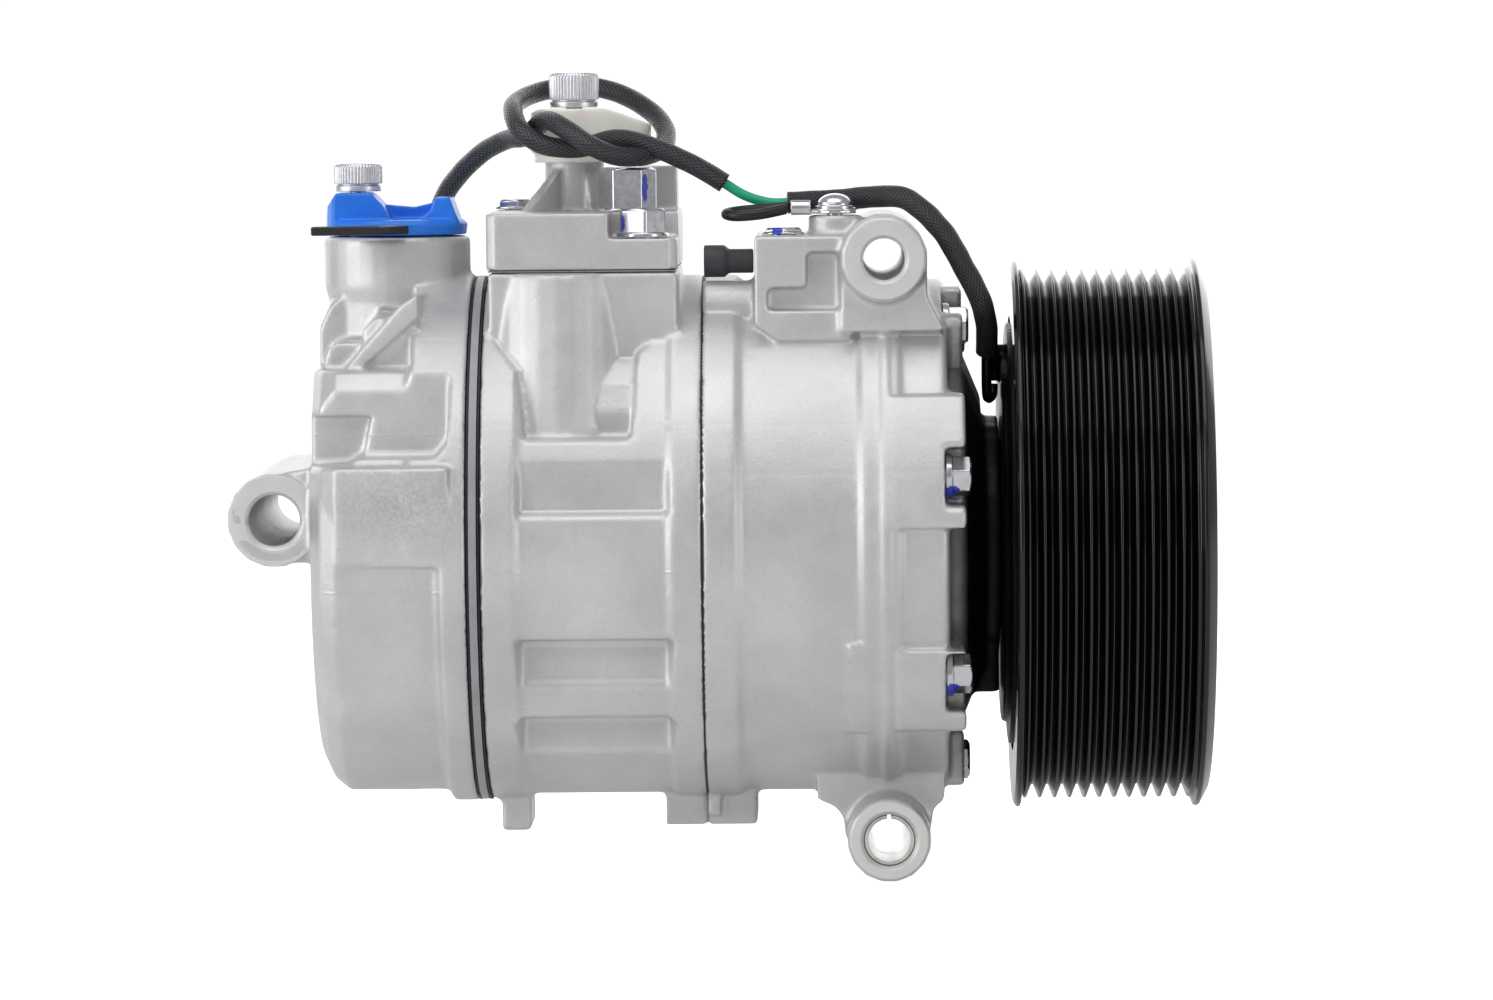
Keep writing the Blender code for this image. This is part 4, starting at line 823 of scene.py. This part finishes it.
def clutch(rubber_look):
    """Coil housing on the casing, armature plate, and the hub with its damper and screw on the shaft."""
    coil = softened("clutch_coil", 0.55, 2, 90000, CAD_SIDES, False)
    dress(coil, gloss_black("coil_enamel", 0.30, 0.1), "casing", SLOT_OF["clutch_coil"], "clutch_coil")
    plate = softened("armature_plate", 0.5, 2, 70000, CAD_SIDES, False)
    face = turned_metal("armature_steel", "#8C8C90", "x", (0, 0, 0), 0.9, 0.3)
    dress(plate, face, "armature", SLOT_OF["armature_plate"], "armature_plate")
    hub = [
        (62.8, 6.4), (62.8, 12.0), (69.2, 12.0), (69.2, 30.0), (68.9, 31.0), (68.9, 48.4), (70.4, 48.4),
        (71.2, 31.0), (71.2, 6.4), (62.8, 6.4),
    ]
    disc = lathe("hub_disc", hub, "x", (0, 0), 0.5, 160)
    steel = turned_metal("hub_steel", "#9C9CA0", "x", (0, 0, 0), 1.1, 0.3)
    dress(disc, steel, "shaft", SLOT_OF["clutch_hub"], "clutch_hub")
    ring = [(67.1, 32.0), (67.1, 48.3), (68.6, 48.3), (68.6, 32.0), (67.1, 32.0)]
    damper = lathe("damper", ring, "x", (0, 0), 0.4, 160)
    dress(damper, rubber_look, "shaft", SLOT_OF["damper_ring"], "damper_ring")
    hex_bolt(
        "hub_screw", "x", (0.0, 0.0), 71.5, (6.5, 1.1), 4.9, 4.4, plated_steel("zinc_hub_screw"), "shaft",
        SLOT_OF["hub_bolt"], "hub_bolt", 0.3, (60.8, 2.5),
    )


def caps(blue, milky, moulded):
    """Shipping caps, as (node, voxel, smoothing passes, most triangles, look)."""
    for node, voxel, passes, most, look in (
        ("suction_cap", 0.32, 5, 120000, blue),
        ("suction_cap_tab", 0.28, 2, 40000, moulded),
        ("discharge_cap", 0.32, 6, 100000, milky),
    ):
        dress(softened(node, voxel, passes, most, 0, False), look, "casing", SLOT_OF[node], node)


def small_pieces(moulded, steel, plated):
    """Link pipe, control valve, earth terminal and the lead's connector, which is returned."""
    pipe = [
        (-42.3, 0.0), (-42.3, 3.8), (-39.4, 3.8), (-37.4, 3.8), (-36.4, 2.85), (-30.6, 2.85), (-30.6, 0.0),
    ]
    made = lathe("link_sleeve", pipe, "x", (-20.0, 66.2), 0.5, 64)
    grey = moulded_plastic("grey_nylon", "#47484C", 0.5)
    dress(made, grey, "casing", SLOT_OF["link_pipe"], "link_pipe")
    seat = 61.3
    top = seat + 3.8
    valve = [(34.6, 0.0), (34.6, 8.9), (seat, 8.9), (seat, 9.5), (seat + 2.6, 9.5), (top, 8.4), (top, 0.0)]
    made = lathe("valve_cap", valve, "y", CONTROL_VALVE, 0.4, 96)
    dress(made, steel, "casing", SLOT_OF["control_valve"], "control_valve")
    made = softened("earth_terminal", 0.22, 2, 40000, 0, False)
    dress(made, plated, "casing", SLOT_OF["earth_terminal"], "earth_terminal")
    made = softened("connector", 0.4, 3, 40000, 0, False)
    made.name = "plug_housing"
    return dress(made, moulded, "casing", SLOT_OF["connector"], "connector")


def lead(insulation, earth_look):
    """The coil's lead in its two sleeves, and the short earth wire."""
    line = smooth_line(LEAD_ROUTE, 1.2)
    front = sleeve("sleeve_front", part_of(LEAD_ROUTE, *FRONT_SLEEVE, 0.7), 2.62, 0.02, 0.035, 4)
    flat_braid = woven_sleeving("flat_braid", 18, 1.3, 0.5)
    dress(front, flat_braid, "casing", SLOT_OF["front_sleeve"], "front_sleeve")
    rear_line = part_of(LEAD_ROUTE, REAR_SLEEVE_START, len(LEAD_ROUTE) - 1, 0.8)
    rear = sleeve("sleeve_rear", rear_line, 2.34, 0.0, 0.02, 7)
    round_braid = woven_sleeving("round_braid", 16, 1.5, 0.30)
    dress(rear, round_braid, "casing", SLOT_OF["rear_sleeve"], "rear_sleeve")
    wire = cord_curve("lead_wire", line, LEAD_DIAMETER)
    slot = SLOT_OF["lead_wire_front"]
    dress(wire, insulation, "casing", slot, "lead_wire_front", "lead_wire_link")
    loop = smooth_line(EARTH_ROUTE, 0.8)
    earth = cord_curve("earth_loop", loop, EARTH_DIAMETER)
    dress(earth, earth_look, "casing", SLOT_OF["earth_wire"], "earth_wire")


def carried_over(looks):
    """CAD nodes inside the casing keep their own shape and take a finish by their slot."""
    for name, o in NODES.items():
        if not o.hide_render:
            o.data.materials.clear()
            o.data.materials.append(looks["plate_steel" if name == "muffler_gasket" else SLOT_OF[name]])


# ---------------------------------------------------------------- studio

def area(name, place, target, width, height, radiance):
    """White soft box that sends radiance, in watts per square metre and steradian, to target."""
    light = bpy.data.lights.new(name, "AREA")
    light.shape = "RECTANGLE"
    light.size, light.size_y = width, height
    light.energy = radiance * math.pi * width * height
    made = bpy.data.objects.new(name, light)
    made.location = place
    made.rotation_mode = "QUATERNION"
    made.rotation_quaternion = (Vector(target) - Vector(place)).to_track_quat("-Z", "Y")
    made.visible_camera = False
    bpy.context.scene.collection.objects.link(made)


def studio():
    """White surroundings that light the object only faintly, five soft boxes and a pale floor."""
    world = bpy.data.worlds.new("studio")
    bpy.context.scene.world = world
    world.use_nodes = True
    tree = world.node_tree
    tree.nodes.clear()
    seen = add(tree, "ShaderNodeBackground", None, {"Color": (1, 1, 1, 1), "Strength": 1.05})
    felt = add(tree, "ShaderNodeBackground", None, {"Color": linear("#F4F6FA"), "Strength": 0.37})
    path = add(tree, "ShaderNodeLightPath").outputs["Is Camera Ray"]
    both = add(tree, "ShaderNodeMixShader", None, {0: path, 1: felt.outputs[0], 2: seen.outputs[0]})
    add(tree, "ShaderNodeOutputWorld", None, {"Surface": both.outputs[0]})
    centre = (-0.03, 0.0, 0.0)
    area("backdrop_light", (-0.03, 1.3, 0.1), centre, 2.6, 1.8, 1.5)
    area("left_box", (-1.25, -0.6, 0.2), centre, 1.0, 1.2, 2.5)
    area("top_box", (-0.1, -0.45, 1.25), centre, 1.5, 1.0, 1.5)
    area("right_box", (1.25, -0.9, 0.15), centre, 0.5, 1.2, 2.2)
    area("front_fill", (-0.5, -1.5, 1.1), centre, 1.2, 0.8, 0.75)
    half = 3.0
    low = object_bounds()[0].z - 0.0005
    mesh = bpy.data.meshes.new("floor")
    corners = [(-half, -half, low), (half, -half, low), (half, half, low), (-half, half, low)]
    mesh.from_pydata(corners, [], [(0, 1, 2, 3)])
    floor = bpy.data.objects.new("floor", mesh)
    bpy.context.scene.collection.objects.link(floor)
    look, tree, shader, _ = start("white_table")
    glow = ramp(tree, add(tree, "ShaderNodeLightPath").outputs["Is Camera Ray"], 0.0, 1.0, 0.22, 0.93)
    put(tree, shader, Base_Color=linear("#C8C8C8"), Roughness=0.8)
    put(tree, shader, Emission_Color=(1, 1, 1, 1), Emission_Strength=glow)
    mesh.materials.append(look)
    floor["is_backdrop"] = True


def camera():
    """Long lens almost square on to the side with the eyes, from just above, rolled by half a degree."""
    target = Vector((-0.033, 0.0, 0.0084))
    azimuth, height, away = math.radians(0.7), math.radians(3.4), 1.65
    level = math.cos(height)
    back = Vector((math.sin(azimuth) * level, -math.cos(azimuth) * level, math.sin(height)))
    data = bpy.data.cameras.new("camera")
    data.lens = 166.0
    data.sensor_width = 36.0
    data.clip_end = 20.0
    made = bpy.data.objects.new("camera", data)
    made.location = target + back * away
    made.rotation_mode = "QUATERNION"
    roll = Quaternion((0, 0, 1), math.radians(-0.5))
    made.rotation_quaternion = (-back).to_track_quat("-Z", "Y") @ roll
    bpy.context.scene.collection.objects.link(made)
    bpy.context.scene.camera = made


def build():
    """All pieces, in their finishes."""
    cast = cast_aluminium()
    steel = machined_steel()
    plated = plated_steel("zinc_plate")
    black = gloss_black()
    soft_black = rubber()
    gasket = moulded_plastic("gasket_sheet", "#101113", 0.55)
    moulded = moulded_plastic("black_nylon", "#1B1C1F", 0.42)
    blue = moulded_plastic("blue_polythene", "#1F7FF0", 0.36, 0.15)
    milky = moulded_plastic("milky_polythene", "#F8FCF0", 0.42, 0.55)
    insulation = wire_insulation()
    looks = {
        "cast_aluminium": cast, "gasket_sheet": gasket, "plate_steel": steel, "zinc_plated": plated,
        "machined_steel": steel, "bearing_bronze": bronze(), "piston_alloy": cast, "black_rubber": soft_black,
        "black_paint": black, "blue_plastic": blue, "milky_plastic": milky, "black_moulding": moulded,
        "woven_sleeving": moulded, "wire_insulation": insulation,
    }
    castings(cast)
    eye_faces()
    gaskets(gasket, moulded_plastic("coated_plate_edge", "#A0A1A5", 0.42))
    screws()
    cap_screws()
    pulley(black)
    clutch(soft_black)
    caps(blue, milky, moulded)
    plug = small_pieces(moulded, steel, plated)
    lead(insulation, moulded_plastic("black_pvc", "#0F0F11", 0.4))
    carried_over(looks)


build()
studio()
camera()
bpy.context.scene.view_settings.view_transform = "Standard"
